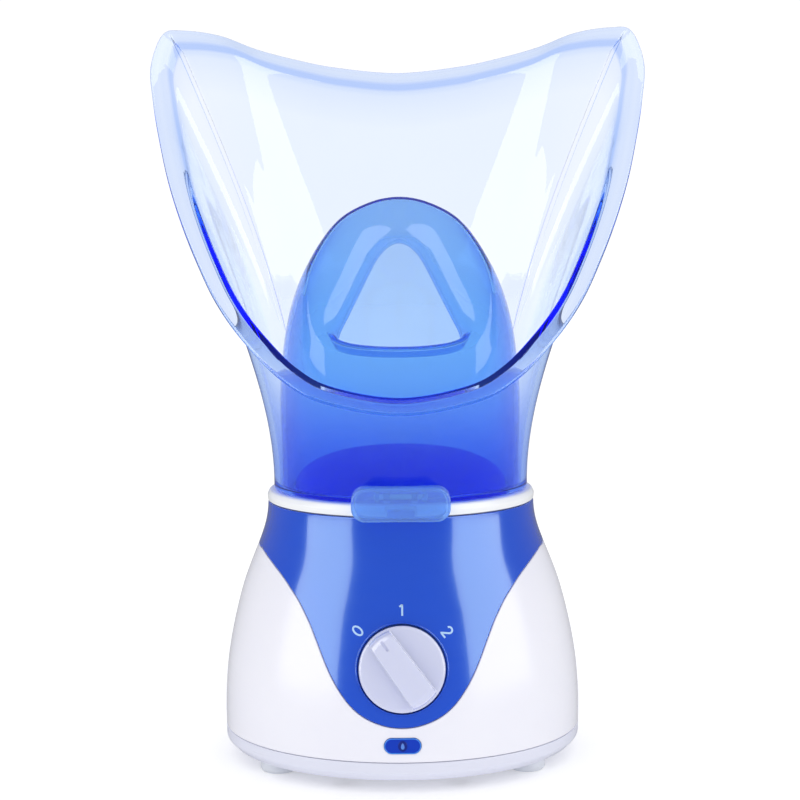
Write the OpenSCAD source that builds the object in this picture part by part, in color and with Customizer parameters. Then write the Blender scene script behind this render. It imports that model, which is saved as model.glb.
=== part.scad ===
// Table-top facial steamer: heated base with a water cup, a hinged face hood
// on a hinge pin, a removable nose cone inside it, and a rotary power knob.
// Front is -Y, right is +X, up is +Z. The origin is on the table, under the
// axis of the round base.

/* [Housing] */
// Largest radius of the round base
base_r = 69.7; // [69:0.1:71]
// Radius of the housing at its top edge
top_r = 52; // [51.6:0.1:52.4]
// Height of the top edge of the housing
top_z = 100; // [99.8:0.1:100.2]
// Wall thickness of the housing shells
wall = 2.2; // [1.8:0.1:2.6]
// Height of the parting line between base shell and bottom plate
part_z = 11.8; // [11:0.1:12.5]

/* [Hood] */
// Outer radius of the hood's neck
neck_r = 49.6; // [49.2:0.1:50]
// Wall thickness of the clear hood
hood_t = 2.2; // [1.8:0.1:2.6]
// Width of the flange around the face opening
flange_w = 6.2; // [4:0.1:8]
// Thickness of the flange around the face opening
flange_t = 2.0; // [1.4:0.1:2.6]
// Height of the hinge pin's axis
hinge_z = 106.5; // [106.3:0.1:107]
// Distance of the hinge pin's axis behind the centre
hinge_y = 56.5; // [56.2:0.1:57]

/* [Nose cone] */
// Outer radius of the cone's foot
cone_r = 46.3; // [46:0.1:46.6]
// Wall thickness of the cone
cone_t = 1.8; // [1.4:0.1:2.2]

/* [Knob] */
// Radius of the knob's disc
knob_r = 15.9; // [15:0.1:16.3]
// Height of the grip bar above the housing surface
knob_h = 10; // [8:0.5:12]
// Turn of the knob's pointer to the left of upright at rest
knob_rest = 36; // [0:5:90]

/* [Water] */
// Inner radius of the water cup
cup_r = 28.6; // [26:0.1:29]
// Height of the cup's flange
cup_z = 99.2; // [99:0.1:99.5]

/* [Hidden] */
$fn = 96;

white = [0.94, 0.94, 0.96];
gloss_blue = [0.16, 0.34, 0.86];
sky = [0.62, 0.74, 1.0, 0.45];
cone_blue = [0.25, 0.45, 0.92, 0.7];
tab_blue = [0.42, 0.60, 0.93, 0.8];
steel = [0.75, 0.76, 0.78];
alu = [0.82, 0.83, 0.85];

// Knob axis: a point on the front of the housing, with the outward normal
// tilted a little upwards.
knob_y = -67.1;
knob_z = 46.4;
knob_tilt = 10.5;

// Latch pin axis
latch_y = -55.6;
latch_z = 108.6;

function sum(v, i = 0) = i < len(v) ? v[i] + sum(v, i + 1) : 0;
function unit(v) = v / norm(v);

// ---------------------------------------------------------------- housing
// Outer profile of the housing as [radius, height], from the foot edge up.
prof = [[base_r - 3.3, 4.5], [base_r - 2.0, 4.9], [base_r - 0.9, 6.2], [base_r - 0.3, 9],
    [base_r - 0.1, part_z], [base_r, 18], [base_r - 0.1, 24], [base_r - 0.5, 31],
    [base_r - 1.2, 38], [base_r - 2.3, 45], [base_r - 3.7, 52], [base_r - 5.6, 60],
    [base_r - 7.8, 68], [base_r - 10.8, 76], [base_r - 14.1, 84], [base_r - 15.6, 88],
    [base_r - 16.8, 92], [top_r + 0.2, 96], [top_r, top_z]];

// Part of the profile between two heights, moved inwards by d.
function cut(z0, z1, d) = concat(
    [[at(z0) - d, z0]],
    [for (p = prof) if (p[1] > z0 + 0.01 && p[1] < z1 - 0.01) [p[0] - d, p[1]]],
    [[at(z1) - d, z1]]);
// Radius of the housing at height z
function at(z) = lookup(z, [for (p = prof) [p[1], p[0]]]);
function rev(v) = [for (i = [len(v) - 1 : -1 : 0]) v[i]];

module band(z0, z1, d0, d1)
    rotate([0, 0, 17]) rotate_extrude($fn = 128) polygon(concat(cut(z0, z1, d0), rev(cut(z0, z1, d1))));
module fill_to(z0, z1, d)
    rotate([0, 0, 17]) rotate_extrude($fn = 128) polygon(concat([[0, z0]], cut(z0, z1, d), [[0, z1]]));

// Right half of the seam between blue cover and white shell, seen from the
// front as [x, z]; the left half mirrors it.
seam = [[0, 24.8], [5, 25.2], [10, 26.6], [13.8, 28.3], [17, 30.4], [19.8, 33], [22, 35.7],
    [24.5, 39.4], [26.5, 43], [28.2, 46.5], [29.7, 50], [31.1, 53.5], [32.6, 57], [34.3, 61],
    [36.5, 65], [38.8, 68.8], [41.7, 72.3], [44.7, 75.7], [48, 78.6], [50.8, 80.8],
    [53, 82.3], [54.4, 83], [62, 83]];
module front_seam(d = 0)
    rotate([90, 0, 0]) linear_extrude(80)
        polygon(concat([for (p = seam) [p[0] - d, p[1] + d]], [[62, 110], [-62, 110]],
            rev([for (p = seam) if (p[0] > 0) [-p[0] + d, p[1] + d]])));
module rear_seam(d = 0)
    rotate([90, 0, 180]) linear_extrude(80)
        polygon(concat([[62, 83 + d]], [for (a = [0 : 12 : 180]) [54.4 * cos(a), 83 + d + 3.2 * sin(a)]],
            [[-62, 83 + d], [-62, 110], [62, 110]]));
module cover_zone(d = 0) { front_seam(d); rear_seam(d); }

// A post with a rib that ties it to the inner face of the housing wall.
// p = [x, y]; the rib runs radially outwards to radius rr.
module ribbed_post(p, r, z0, z1, rr, rz0, hole) {
    a = atan2(p[1], p[0]);
    translate([p[0], p[1], z0]) difference() {
        cylinder(r = r, h = z1 - z0, $fn = 32);
        translate([0, 0, -1]) cylinder(r = hole, h = z1 - z0 - 2, $fn = 24);
    }
    rotate([0, 0, a]) translate([norm(p) + r - 0.5, -1, rz0]) cube([rr - norm(p) - r + 0.5, 2, z1 - rz0 - 1]);
}
// A flat lug with a through hole on the inner face of the wall.
module lug(p, r, z0, t, rr, hole) {
    a = atan2(p[1], p[0]);
    translate([0, 0, z0]) linear_extrude(t) difference() {
        union() {
            translate([p[0], p[1]]) circle(r = r, $fn = 32);
            rotate(a) translate([norm(p), -r + 0.4]) square([rr - norm(p), 2 * r - 0.8]);
        }
        translate([p[0], p[1]]) circle(r = hole, $fn = 24);
    }
}
bottom_posts = [[22, -54], [-22, -54], [22, 54], [-22, 54]];
cover_front = [[33, -48], [-33, -48]];
cover_rear = [[27.3, 38.3], [-27.3, 38.3]];
deck_posts = [[0, 43], [36.4, -21], [-36.4, -21]];

module knob_frame() translate([0, knob_y, knob_z]) rotate([90 - knob_tilt, 0, 0]) children();

// Flat pill seen from the front: half length a, half height b, centred at z.
module pill(a, b, z, y0, y1)
    translate([0, y1, z]) rotate([90, 0, 0]) linear_extrude(y1 - y0) union() {
        square([2 * (a - b), 2 * b], center = true);
        for (s = [-1, 1]) translate([s * (a - b), 0]) circle(r = b, $fn = 48);
    }

module base_shell() color(white) difference() {
    union() {
        difference() { band(part_z, 88.5, 0, wall); cover_zone(); }
        intersection() {
            fill_to(part_z, 88.5, wall - 0.3);
            union() {
                for (p = bottom_posts) ribbed_post(p, 3.8, 14.2, 36, 68, 17, 1.25);
                for (p = cover_front) lug(p, 4.2, 49.6, 2.2, 66, 1.7);
                for (p = cover_rear) lug(p, 3.8, 77.6, 2.2, 58, 1.5);
            }
        }
    }
    pill(6.9, 3.0, 18.3, -80, -60);
    translate([0, 72, 24]) rotate([90, 0, 0]) cylinder(r = 5.5, h = 10, $fn = 48);
}

module blue_cover() color(gloss_blue) {
    difference() {
        intersection() { band(24, top_z, 0, wall); cover_zone(); }
        knob_frame() translate([0, 0, -8]) cylinder(r = 16.6, h = 20);
    }
    // recess behind the knob, with the hole for the switch bushing
    difference() {
        intersection() {
            knob_frame() translate([0, 0, -5]) cylinder(r = 18.4, h = 12);
            fill_to(24, top_z, 0);
        }
        knob_frame() translate([0, 0, -3.4]) cylinder(r = 16.6, h = 20);
        knob_frame() translate([0, 0, -8]) cylinder(r = 3.6, h = 20, $fn = 32);
    }
    intersection() {
        fill_to(24, top_z, wall - 0.3);
        union() {
            for (p = cover_front) ribbed_post(p, 3.4, 52, 66, 66, 60, 1.25);
            for (p = cover_rear) ribbed_post(p, 3.0, 80, 91.5, 56, 88.5, 1.1);
            for (p = deck_posts) lug(p, 3.8, 87.8, 2.2, 54, 1.5);
        }
    }
}

module bottom_plate() color(white) difference() {
    union() {
        rotate([0, 0, 17]) rotate_extrude($fn = 128) polygon(concat([[0, 4.5]],
            cut(4.5, part_z - 0.15, 0), [[base_r - 2.5, part_z - 0.15], [base_r - 2.5, 14],
            [base_r - 4.4, 14], [base_r - 4.4, 7], [0, 7]]));
        for (p = bottom_posts) translate([p[0], p[1], 6.5]) cylinder(r = 3.8, h = 7.5, $fn = 32);
    }
    for (p = bottom_posts) translate([p[0], p[1], 4]) {
        cylinder(r = 1.7, h = 12, $fn = 24);
        cylinder(r = 3.3, h = 5, $fn = 32);
    }
    for (x = [-1, 1], y = [-1, 1]) translate([47.5 * x, 34 * y, 4]) cylinder(r = 2.1, h = 5, $fn = 24);
    for (i = [-4 : 4]) translate([6 * i - 1.2, -14, 4]) cube([2.4, 28, 4]);
}

module rubber_feet() color([0.86, 0.88, 0.92])
    for (x = [-1, 1], y = [-1, 1]) translate([47.5 * x, 34 * y, 0]) {
        rotate_extrude($fn = 48) polygon([[0, 0], [7, 0], [7, 4.5],
            [2, 4.5], [2, 7], [2.7, 7.2], [1.4, 8.6], [0, 8.6]]);
    }

// Screw with its head below: head height hh, head radius hr, shank to length l.
module screw_up(r, hr, hh, l) difference() {
    union() { cylinder(r = hr, h = hh, $fn = 32); cylinder(r = r, h = hh + l, $fn = 24); }
    translate([-0.35, -1.6, -0.1]) cube([0.7, 3.2, 1.1]);
    translate([-1.6, -0.35, -0.1]) cube([3.2, 0.7, 1.1]);
}
module bottom_screws() color(steel)
    for (p = bottom_posts) translate([p[0], p[1], 6.7]) screw_up(1.25, 2.9, 2.25, 13);
module cover_screws() color(steel) {
    for (p = cover_front) translate([p[0], p[1], 47.6]) screw_up(1.25, 2.8, 2, 9);
    for (p = cover_rear) translate([p[0], p[1], 75.6]) screw_up(1.1, 2.5, 2, 9);
}
module deck_screws() color(steel)
    for (p = deck_posts) translate([p[0], p[1], 85.8]) screw_up(1.1, 2.6, 2, 8.5);

// ---------------------------------------------------------------- deck, water
module steam_deck() color(white) difference() {
    union() {
        rotate_extrude($fn = 128) polygon([[43.6, 98.6], [44.4, 103.4], [45.6, 104.5],
            [50.9, 104.5], [51.7, 104.1], [52.25, 103.2], [52.3, 101.8], [51.9, 100.7],
            [51.2, 100.3], [49.4, 100.3], [49.4, 94.3], [47.4, 94.3], [47.4, 96.8],
            [33.2, 96.6], [33.2, 95], [31, 95], [31, 98.6]]);
        for (p = deck_posts) translate([p[0], p[1], 90]) cylinder(r = 3.6, h = 7.5, $fn = 32);
        for (s = [-1, 1]) translate([37 * s, 8, 64.6]) cylinder(r = 3.5, h = 33, $fn = 32);
        // hinge ears
        for (s = [-1, 1]) translate([8.9 * s - 1.5, 0, 0]) rotate([90, 0, 90]) linear_extrude(3)
            union() {
                translate([hinge_y, hinge_z]) circle(r = 3.4, $fn = 48);
                polygon([[49.6, 100.4], [52.6, 100.4], [59.0, 104.2], [59.9, 106.4],
                    [53.5, 108.1], [51.4, 104.4], [49.6, 104.4]]);
            }
    }
    for (p = deck_posts) translate([p[0], p[1], 89]) cylinder(r = 1.1, h = 7, $fn = 24);
    for (s = [-1, 1]) translate([37 * s, 8, 64]) cylinder(r = 1.25, h = 10, $fn = 24);
    translate([-20, hinge_y, hinge_z]) rotate([0, 90, 0]) cylinder(r = 1.25, h = 40, $fn = 48);
    // notch that the latch bump drops into, open to the front and the top
    translate([-6, -60, 100.7]) cube([12, 60 - 50.9, 10]);
}

module hinge_pin() color(steel) translate([-10.6, hinge_y, hinge_z]) rotate([0, 90, 0])
    cylinder(r = 1.25, h = 21.2, $fn = 48);

module water_cup() color(alu) rotate_extrude($fn = 96) polygon([[0, 76], [24.5, 76], [27.3, 76.8],
    [28.9, 78.6], [cup_r + 0.9, 81.2], [cup_r + 0.9, cup_z], [35, cup_z], [35, cup_z + 0.8],
    [cup_r + 0.6, cup_z + 0.8], [cup_r, cup_z + 0.2], [cup_r, 81.4], [cup_r - 0.6, 79],
    [26.6, 77.6], [24.3, 76.9], [0, 76.9]]);

module cup_seal() color([0.85, 0.35, 0.28]) rotate_extrude($fn = 96)
    polygon([[31.2, 98.6], [34.8, 98.6], [34.8, cup_z], [31.2, cup_z]]);

module splash_guard() color([0.2, 0.33, 0.85, 0.85]) difference() {
    rotate_extrude($fn = 96) polygon([[38.9, 98.9], [41.2, 98.9], [41.2, 106.5], [41, 108.6],
        [40.3, 110.8], [39, 112.7], [37, 114.4], [34, 116], [30, 117.3], [24, 118.6], [17, 119.6],
        [9, 120.3], [4, 120.4], [0, 120.4], [0, 118.9], [4, 118.9], [9, 118.8], [17, 118.1],
        [24, 117.1], [30, 115.7], [33.4, 114.6], [36.1, 113.1], [37.9, 111.5], [39, 109.8],
        [39.5, 108.2], [39.7, 106.4], [39.7, 101], [38.9, 101]]);
    for (a = [-56 : 28 : 56]) rotate([0, 0, 90 + a]) translate([20, -1.6, 105]) cube([15, 3.2, 18]);
    for (s = [0 : 90 : 270]) rotate([0, 0, s + 45]) translate([30, -4, 98]) cube([14, 8, 3]);
}

// ---------------------------------------------------------------- heater
module heater_plate() color(alu) difference() {
    rotate_extrude($fn = 96) polygon([[0, 71], [26.2, 71], [27, 71.8], [27, 75.4], [26.4, 76], [0, 76]]);
    translate([0, 0, 70]) cylinder(r = 1.6, h = 4.5, $fn = 24);
}
module heating_element() color([0.45, 0.42, 0.42]) {
    difference() {
        translate([0, 0, 67.8]) rotate_extrude($fn = 96) translate([20, 0]) circle(r = 3.2, $fn = 32);
        rotate([0, 0, 90]) translate([10, -3.5, 60]) cube([20, 7, 16]);
    }
    for (s = [-1, 1]) {
        translate([5.4 * s, 19.2, 55]) cylinder(r = 1.6, h = 12, $fn = 24);
        translate([5.4 * s, 19.2, 63]) cylinder(r = 2.6, h = 3, $fn = 24);
    }
}
module heater_bracket() color(steel) difference() {
    translate([0, 0, 63.1]) union() {
        linear_extrude(1.3) union() {
            square([64, 13], center = true);
            for (s = [-1, 1]) translate([32 * s, 3]) square([12, 19], center = true);
            for (s = [-1, 1]) translate([37 * s, 8]) circle(r = 5.2, $fn = 32);
        }
    }
    translate([0, 0, 60]) cylinder(r = 1.8, h = 8, $fn = 24);
    for (s = [-1, 1]) translate([37 * s, 8, 60]) cylinder(r = 1.7, h = 8, $fn = 24);
}
module heater_screws() color(steel) {
    translate([0, 0, 60.9]) screw_up(1.55, 3.2, 2.2, 11);
    for (s = [-1, 1]) translate([37 * s, 8, 61.1]) screw_up(1.25, 2.8, 2, 9);
}
module thermostat() color([0.25, 0.22, 0.2]) {
    translate([0, -11.4, 66.2]) cylinder(r = 5, h = 4.8, $fn = 48);
    translate([0, -11.4, 64.7]) cylinder(r = 4, h = 1.6, $fn = 48);
    for (s = [-1, 1]) translate([2.6 * s - 0.4, -13, 60.5]) cube([0.8, 3, 4.3]);
}
module thermal_fuse() color([0.93, 0.93, 0.9]) translate([-6, 11.4, 68.9]) rotate([0, 90, 0]) {
    cylinder(r = 2.1, h = 12, $fn = 32);
    translate([0, 0, -3]) cylinder(r = 0.6, h = 18, $fn = 16);
}

// ---------------------------------------------------------------- switch, knob
module rotary_switch() color([0.2, 0.2, 0.22]) knob_frame() difference() {
    union() {
        translate([0, 0, -15]) cylinder(r = 10.5, h = 10, $fn = 64);
        translate([-9, -9, -18]) cube([18, 18, 3.2]);
        translate([0, 0, -5.5]) cylinder(r = 3.5, h = 4.7, $fn = 48);
        for (x = [-6, 0, 6]) translate([x - 1.4, -4, -23]) cube([2.8, 0.8, 5.2]);
    }
    translate([0, 0, -14]) cylinder(r = 2.05, h = 20, $fn = 48);
}
module switch_nut() color(steel) knob_frame() difference() {
    translate([0, 0, -3.4]) cylinder(r = 5.6, h = 1.9, $fn = 6);
    translate([0, 0, -5]) cylinder(r = 3.52, h = 6, $fn = 48);
}
module switch_shaft() color(steel) knob_frame() difference() {
    translate([0, 0, -13.5]) cylinder(r = 2, h = 20.3, $fn = 48);
    rotate([0, 0, knob_rest]) translate([-3, 1.2, -0.3]) cube([6, 3, 10]);
}
// The knob: a disc with a raised tapered grip bar; the pointer end is at the
// narrow end of the bar.
module knob() color(white) knob_frame() rotate([0, 0, knob_rest]) difference() {
    union() {
        rotate_extrude($fn = 96) polygon([[0, 1.4], [13.4, 1.4], [13.6, -2.6], [15.6, -2.6],
            [knob_r, -2.3], [knob_r, 1.9], [knob_r - 0.5, 2.7], [knob_r - 1.3, 3], [0, 3]]);
        translate([0, 0, -0.4]) cylinder(r = 4.6, h = 3, $fn = 48);
        intersection() {
            translate([0, 0, 2.5]) linear_extrude(knob_h - 2.5)
                polygon([[-4.4, 17], [4.4, 17], [5.3, -17], [-5.3, -17]]);
            rotate_extrude($fn = 96) polygon([[0, 0], [15.2, 0], [15.2, 3], [14.6, knob_h - 3],
                [13.6, knob_h - 1], [12, knob_h], [0, knob_h]]);
        }
    }
    difference() {
        translate([0, 0, -1]) cylinder(r = 2, h = 7.9, $fn = 48);
        translate([-3, 1.2, -2]) cube([6, 3, 12]);
    }
    translate([-0.5, 8.5, knob_h - 0.5]) cube([1, 4.6, 1]);
}
module knob_clip() color(steel) knob_frame() rotate([0, 0, knob_rest]) difference() {
    translate([0, 0, -0.2]) cylinder(r = 5.1, h = 1.5, $fn = 48);
    translate([0, 0, -1]) cylinder(r = 4.6, h = 3, $fn = 48);
    translate([-1.5, -6, -1]) cube([3, 6, 3]);
}

// ---------------------------------------------------------------- indicator
module indicator_lens() color([0.15, 0.3, 0.8, 0.85]) {
    intersection() {
        difference() { pill(6.8, 2.9, 18.3, -71, -62); fill_to(14, 23, wall + 0.6); }
        fill_to(14, 23, -0.35);
    }
}
module neon_lamp() color([0.95, 0.6, 0.35, 0.8]) translate([0, -64.4, 18.3]) rotate([-90, 0, 0]) {
    rotate_extrude($fn = 32) polygon([[0, -0.2], [0.9, 0], [1.7, 0.6], [2.2, 1.8], [2.2, 10], [0, 10]]);
    for (s = [-1, 1]) translate([s, 0, 9.8]) cylinder(r = 0.3, h = 3, $fn = 16);
}
module lamp_holder() color([0.92, 0.92, 0.9]) difference() {
    translate([-4.5, -61, 7]) cube([9, 6, 14]);
    translate([0, -62, 18.3]) rotate([-90, 0, 0]) cylinder(r = 2.2, h = 12, $fn = 32);
}
module lamp_resistor() color([0.75, 0.62, 0.45]) translate([-9, -46, 12]) rotate([0, 90, 0]) {
    cylinder(r = 1.3, h = 7, $fn = 24);
    translate([0, 0, -2]) cylinder(r = 0.35, h = 11, $fn = 16);
}

// ---------------------------------------------------------------- wiring
module terminal_block() color([0.9, 0.9, 0.86]) difference() {
    union() {
        translate([-12, 22, 7]) cube([24, 13, 9]);
        translate([-3, 24, 14]) cube([6, 9, 4]);
    }
    for (x = [-7.5, 7.5]) {
        translate([x, 28.5, 10]) cylinder(r = 1.8, h = 10, $fn = 24);
        translate([x, 20, 12]) rotate([-90, 0, 0]) cylinder(r = 1.1, h = 18, $fn = 24);
    }
}
module cord_gland() color([0.16, 0.16, 0.18]) translate([0, 0, 24]) rotate([-90, 0, 0])
    rotate_extrude($fn = 64) polygon([[3.3, 64.4], [7.3, 64.4], [7.3, 66.6], [5.4, 66.9],
        [5.4, 70.0], [7.2, 70.4], [7.2, 72], [5.2, 74.2], [3.3, 74.2]]);

// Tube of radius r with n sides along a list of points, closed at both ends.
function path_dir(p, i) = unit(p[min(i + 1, len(p) - 1)] - p[max(i - 1, 0)]);
function side(d) = unit(abs(d[2]) < 0.9 ? cross(d, [0, 0, 1]) : cross(d, [0, 1, 0]));
function tube_ring(p, i, r, n) = let (d = path_dir(p, i), u = side(d), v = cross(d, u))
    [for (k = [0 : n - 1]) p[i] + r * (cos(360 * k / n) * u + sin(360 * k / n) * v)];
module wire(p, r, n = 8) {
    m = len(p);
    pts = [for (i = [0 : m - 1]) each tube_ring(p, i, r, n)];
    polyhedron(pts, concat([[for (k = [0 : n - 1]) k]],
        [for (i = [0 : m - 2], k = [0 : n - 1]) [i * n + k, (i + 1) * n + k, (i + 1) * n + (k + 1) % n]],
        [for (i = [0 : m - 2], k = [0 : n - 1]) [i * n + k, (i + 1) * n + (k + 1) % n, i * n + (k + 1) % n]],
        [[for (k = [n - 1 : -1 : 0]) (m - 1) * n + k]]));
}
// Smooth curve through control points, q steps between each pair.
function cr(a, b, c, d, f) = 0.5 * (2 * b + (c - a) * f + (2 * a - 5 * b + 4 * c - d) * f * f
    + (3 * b - 3 * c + d - a) * f * f * f);
function smooth(c, q) = let (n = len(c)) concat([for (i = [0 : n - 2], j = [0 : q - 1])
    cr(c[max(i - 1, 0)], c[i], c[i + 1], c[min(i + 2, n - 1)], j / q)], [c[n - 1]]);

feed_route = [[-7.5, 21.5, 12], [-9, 12, 13], [-14, -2, 18], [-14, -20, 28], [-9, -34, 37], [-6, -42.2, 42.2]];
live_route = [[6, -42.2, 42.2], [9, -34, 41], [16, -18, 42], [18, 2, 48], [14, 16, 55], [11, 12, 65], [9.1, 11.4, 68.9]];
neutral_route = [[7.5, 21.5, 12], [9, 14, 14], [22, 8, 22], [26, 14, 38], [16, 24, 50], [8, 21, 52], [5.4, 19.2, 54.9]];
link_route = [[-9.1, 11.4, 68.9], [-12, 12, 66], [-13, 16, 60], [-10, 18, 54], [-7, 19, 52], [-5.4, 19.2, 54.9]];
lead_a = [[-1, -51.5, 18.3], [-3, -48, 18], [-10, -44, 14.5], [-13, -45, 12.4], [-11.1, -46, 12]];
lead_b = [[1, -51.5, 18.3], [3, -44, 18], [8, -20, 14], [10, 8, 12], [8.4, 18, 11.2], [7.5, 21.6, 11.2]];
module wire_switch_feed() color([0.5, 0.3, 0.15]) wire(smooth(feed_route, 4), 1.0);
module wire_heater_live() color([0.85, 0.15, 0.12]) {
    wire(smooth(live_route, 4), 1.0);
    wire(smooth(link_route, 4), 1.0);
}
module wire_heater_neutral() color([0.15, 0.3, 0.75]) wire(smooth(neutral_route, 4), 1.0);
module lamp_leads() color([0.92, 0.92, 0.9]) {
    wire(smooth(lead_a, 4), 0.55);
    wire(smooth(lead_b, 4), 0.55);
}

// ---------------------------------------------------------------- hood
// Control points of the outer edge of the face opening, right half, from the
// front centre round to the rear centre.
rim = [[0, -57.5, 139.5], [28, -53.4, 143.8], [44.5, -45.7, 152], [59.4, -32.6, 165.8],
    [70, -20, 179], [78.3, -6.3, 193.7], [85.5, 8, 208.8], [91.6, 22.7, 224.3],
    [96.4, 37.8, 240.4], [100.5, 53.3, 257], [102.4, 63, 272], [97.5, 68, 285.5],
    [88.5, 70, 287.1], [74, 73.2, 285], [58.8, 77, 279.4], [42, 80, 275], [25.4, 82.5, 271.8],
    [0, 84, 269.5]];
nr = len(rim) - 1;
face_mid = [0, 12, 212];
hood_z = 107;
function flip(p) = [-p[0], p[1], p[2]];
function rim_c(i) = i < 0 ? flip(rim[-i]) : i > nr ? flip(rim[2 * nr - i]) : rim[i];
function rim_p(s) = let (i = floor(s), f = s - i) cr(rim_c(i - 1), rim_c(i), rim_c(i + 1), rim_c(i + 2), f);
function rim_t(s) = unit(rim_p(s + 0.02) - rim_p(s - 0.02));
// Direction from the rim into the opening, in its surface
function rim_in(s) = let (t = rim_t(s), q = face_mid - rim_p(s)) unit(q - (q * t) * t);
// Direction square to the opening, out towards the face
function rim_n(s) = let (v = cross(rim_t(s), rim_in(s))) v[1] < 0 ? v : -v;
function edge(s) = rim_p(s) + flange_w * rim_in(s);

// Meridian of the wall below rim parameter s, from the neck (u = 0) to the
// flange (u = 1), as [radius, height]; e moves it inwards along its normal.
function bz(p, u) = pow(1 - u, 3) * p[0] + 3 * u * pow(1 - u, 2) * p[1] + 3 * u * u * (1 - u) * p[2]
    + pow(u, 3) * p[3];
function meridian(s) = let (w = edge(s), r = norm([w[0], w[1]]), h = w[2] - hood_z,
    m = 1.5 * (r - neck_r) / h) [[neck_r, hood_z], [neck_r, hood_z + 0.33 * h],
    [r - 0.33 * h * m, w[2] - 0.33 * h], [r, w[2]]];
function wall_rz(s, u, e) = let (p = meridian(s), a = bz(p, u),
    d = unit(bz(p, min(1, u + 0.01)) - bz(p, max(0, u - 0.01)))) a + e * [-d[1], d[0]];
function wall_pt(s, u, e) = let (w = edge(s), r = norm([w[0], w[1]]), q = wall_rz(s, u, e))
    [q[0] * w[0] / r, q[0] * w[1] / r, q[1]];

// One closed section of the hood: up the outside, round the flange, down the inside.
hood_rows = 11;
function hood_section(s) = concat(
    [for (j = [0 : hood_rows]) wall_pt(s, 0.975 * j / hood_rows, 0)],
    [rim_p(s) - (flange_t - 0.5) * rim_n(s) + 0.5 * rim_in(s), rim_p(s) - 0.5 * flange_t * rim_n(s),
        rim_p(s) + 0.4 * rim_in(s), edge(s) + hood_t * rim_in(s)],
    [for (j = [hood_rows : -1 : 0]) wall_pt(s, 0.94 * j / hood_rows, hood_t)]);

// Closed skin over a ring of closed sections.
module loop_skin(v) {
    m = len(v);
    n = len(v[0]);
    polyhedron([for (r = v) each r], concat(
        [for (i = [0 : m - 1], k = [0 : n - 1]) [i * n + k, ((i + 1) % m) * n + k, ((i + 1) % m) * n + (k + 1) % n]],
        [for (i = [0 : m - 1], k = [0 : n - 1]) [i * n + k, ((i + 1) % m) * n + (k + 1) % n, i * n + (k + 1) % n]]));
}
rim_step = 3;
half = [for (i = [0 : nr * rim_step]) hood_section(i / rim_step)];
module face_hood() color(sky)
    loop_skin(concat(half, [for (i = [nr * rim_step - 1 : -1 : 1]) [for (p = half[i]) flip(p)]]));

module hood_collar() color(sky) difference() {
    union() {
        rotate_extrude($fn = 128) polygon([[42.5, 104.9], [49.2, 104.9], [neck_r, 105.4],
            [neck_r, hood_z], [47.4, hood_z], [47.1, 106.4], [42.5, 106.4]]);
        // hinge knuckle
        translate([-7, 0, 0]) rotate([90, 0, 90]) linear_extrude(14) union() {
            translate([hinge_y, hinge_z]) circle(r = 3.4, $fn = 48);
            polygon([[48.4, 105], [56.5, 105], [56.5, 108.6], [50.4, 107], [48.4, 107]]);
        }
        // lugs for the latch pin
        for (s = [-1, 1]) translate([5.25 * s - 1.25, 0, 0]) rotate([90, 0, 90]) linear_extrude(2.5)
            union() {
                translate([latch_y, latch_z]) circle(r = 1.8, $fn = 32);
                polygon([[-48.4, 105], [-49.6, 105], [-56.8, 107.3], [-55.6, 110.4], [-49.9, 109], [-48.6, 106.9]]);
            }
    }
    translate([-20, hinge_y, hinge_z]) rotate([0, 90, 0]) cylinder(r = 1.3, h = 40, $fn = 48);
    translate([-20, latch_y, latch_z]) rotate([0, 90, 0]) cylinder(r = 1.0, h = 40, $fn = 48);
}
module latch_pin() color(steel) translate([-9.9, latch_y, latch_z]) rotate([0, 90, 0])
    cylinder(r = 1.0, h = 19.8, $fn = 48);

// Finger tab: a hollow pill, open at the back, with two ribs on the latch pin
// and a bump at the bottom that drops into the notch of the deck.
tab_a = 18.4;
tab_b = 6.4;
module tab_outline(d) union() {
    square([2 * (tab_a - 5.2), 2 * (tab_b - d)], center = true);
    square([2 * (tab_a - d), 2 * (tab_b - 5.2)], center = true);
    for (x = [-1, 1], z = [-1, 1]) translate([x * (tab_a - 5.2), z * (tab_b - 5.2)])
        circle(r = 5.2 - d, $fn = 48);
}
module latch_tab() color(tab_blue) difference() {
    union() {
        difference() {
            translate([0, -46, 105.8]) rotate([90, 0, 0]) linear_extrude(13) tab_outline(0);
            translate([0, -45, 105.8]) rotate([90, 0, 0]) linear_extrude(12.7) tab_outline(1.3);
            translate([0, 0, 98]) cylinder(r = 53.1, h = 16, $fn = 128);
        }
        for (s = [-1, 1]) translate([8.75 * s - 0.75, 0, 0]) rotate([90, 0, 90]) linear_extrude(1.5)
            union() {
                translate([latch_y, latch_z]) circle(r = 2.2, $fn = 32);
                translate([-58.2, 106.8]) square([2.6, 4.8]);
            }
        translate([-5, -58.2, 101]) cube([10, 6.6, 2.5]);
    }
    translate([-20, latch_y, latch_z]) rotate([0, 90, 0]) cylinder(r = 1.05, h = 40, $fn = 48);
}

// ---------------------------------------------------------------- nose cone
// Crest of the lip, right half, from the top down to the bottom.
crest = [[0, 10.3, 218.5], [11.5, 8.3, 216.5], [23, 3, 210.3], [31.2, -7, 199.3], [35, -16.5, 188.6],
    [35.5, -25, 179.5], [33.8, -33, 170.3], [29.5, -38.5, 164.2], [21.3, -41.5, 161],
    [10.5, -42.8, 159.6], [0, -43, 159.4]];
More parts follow.
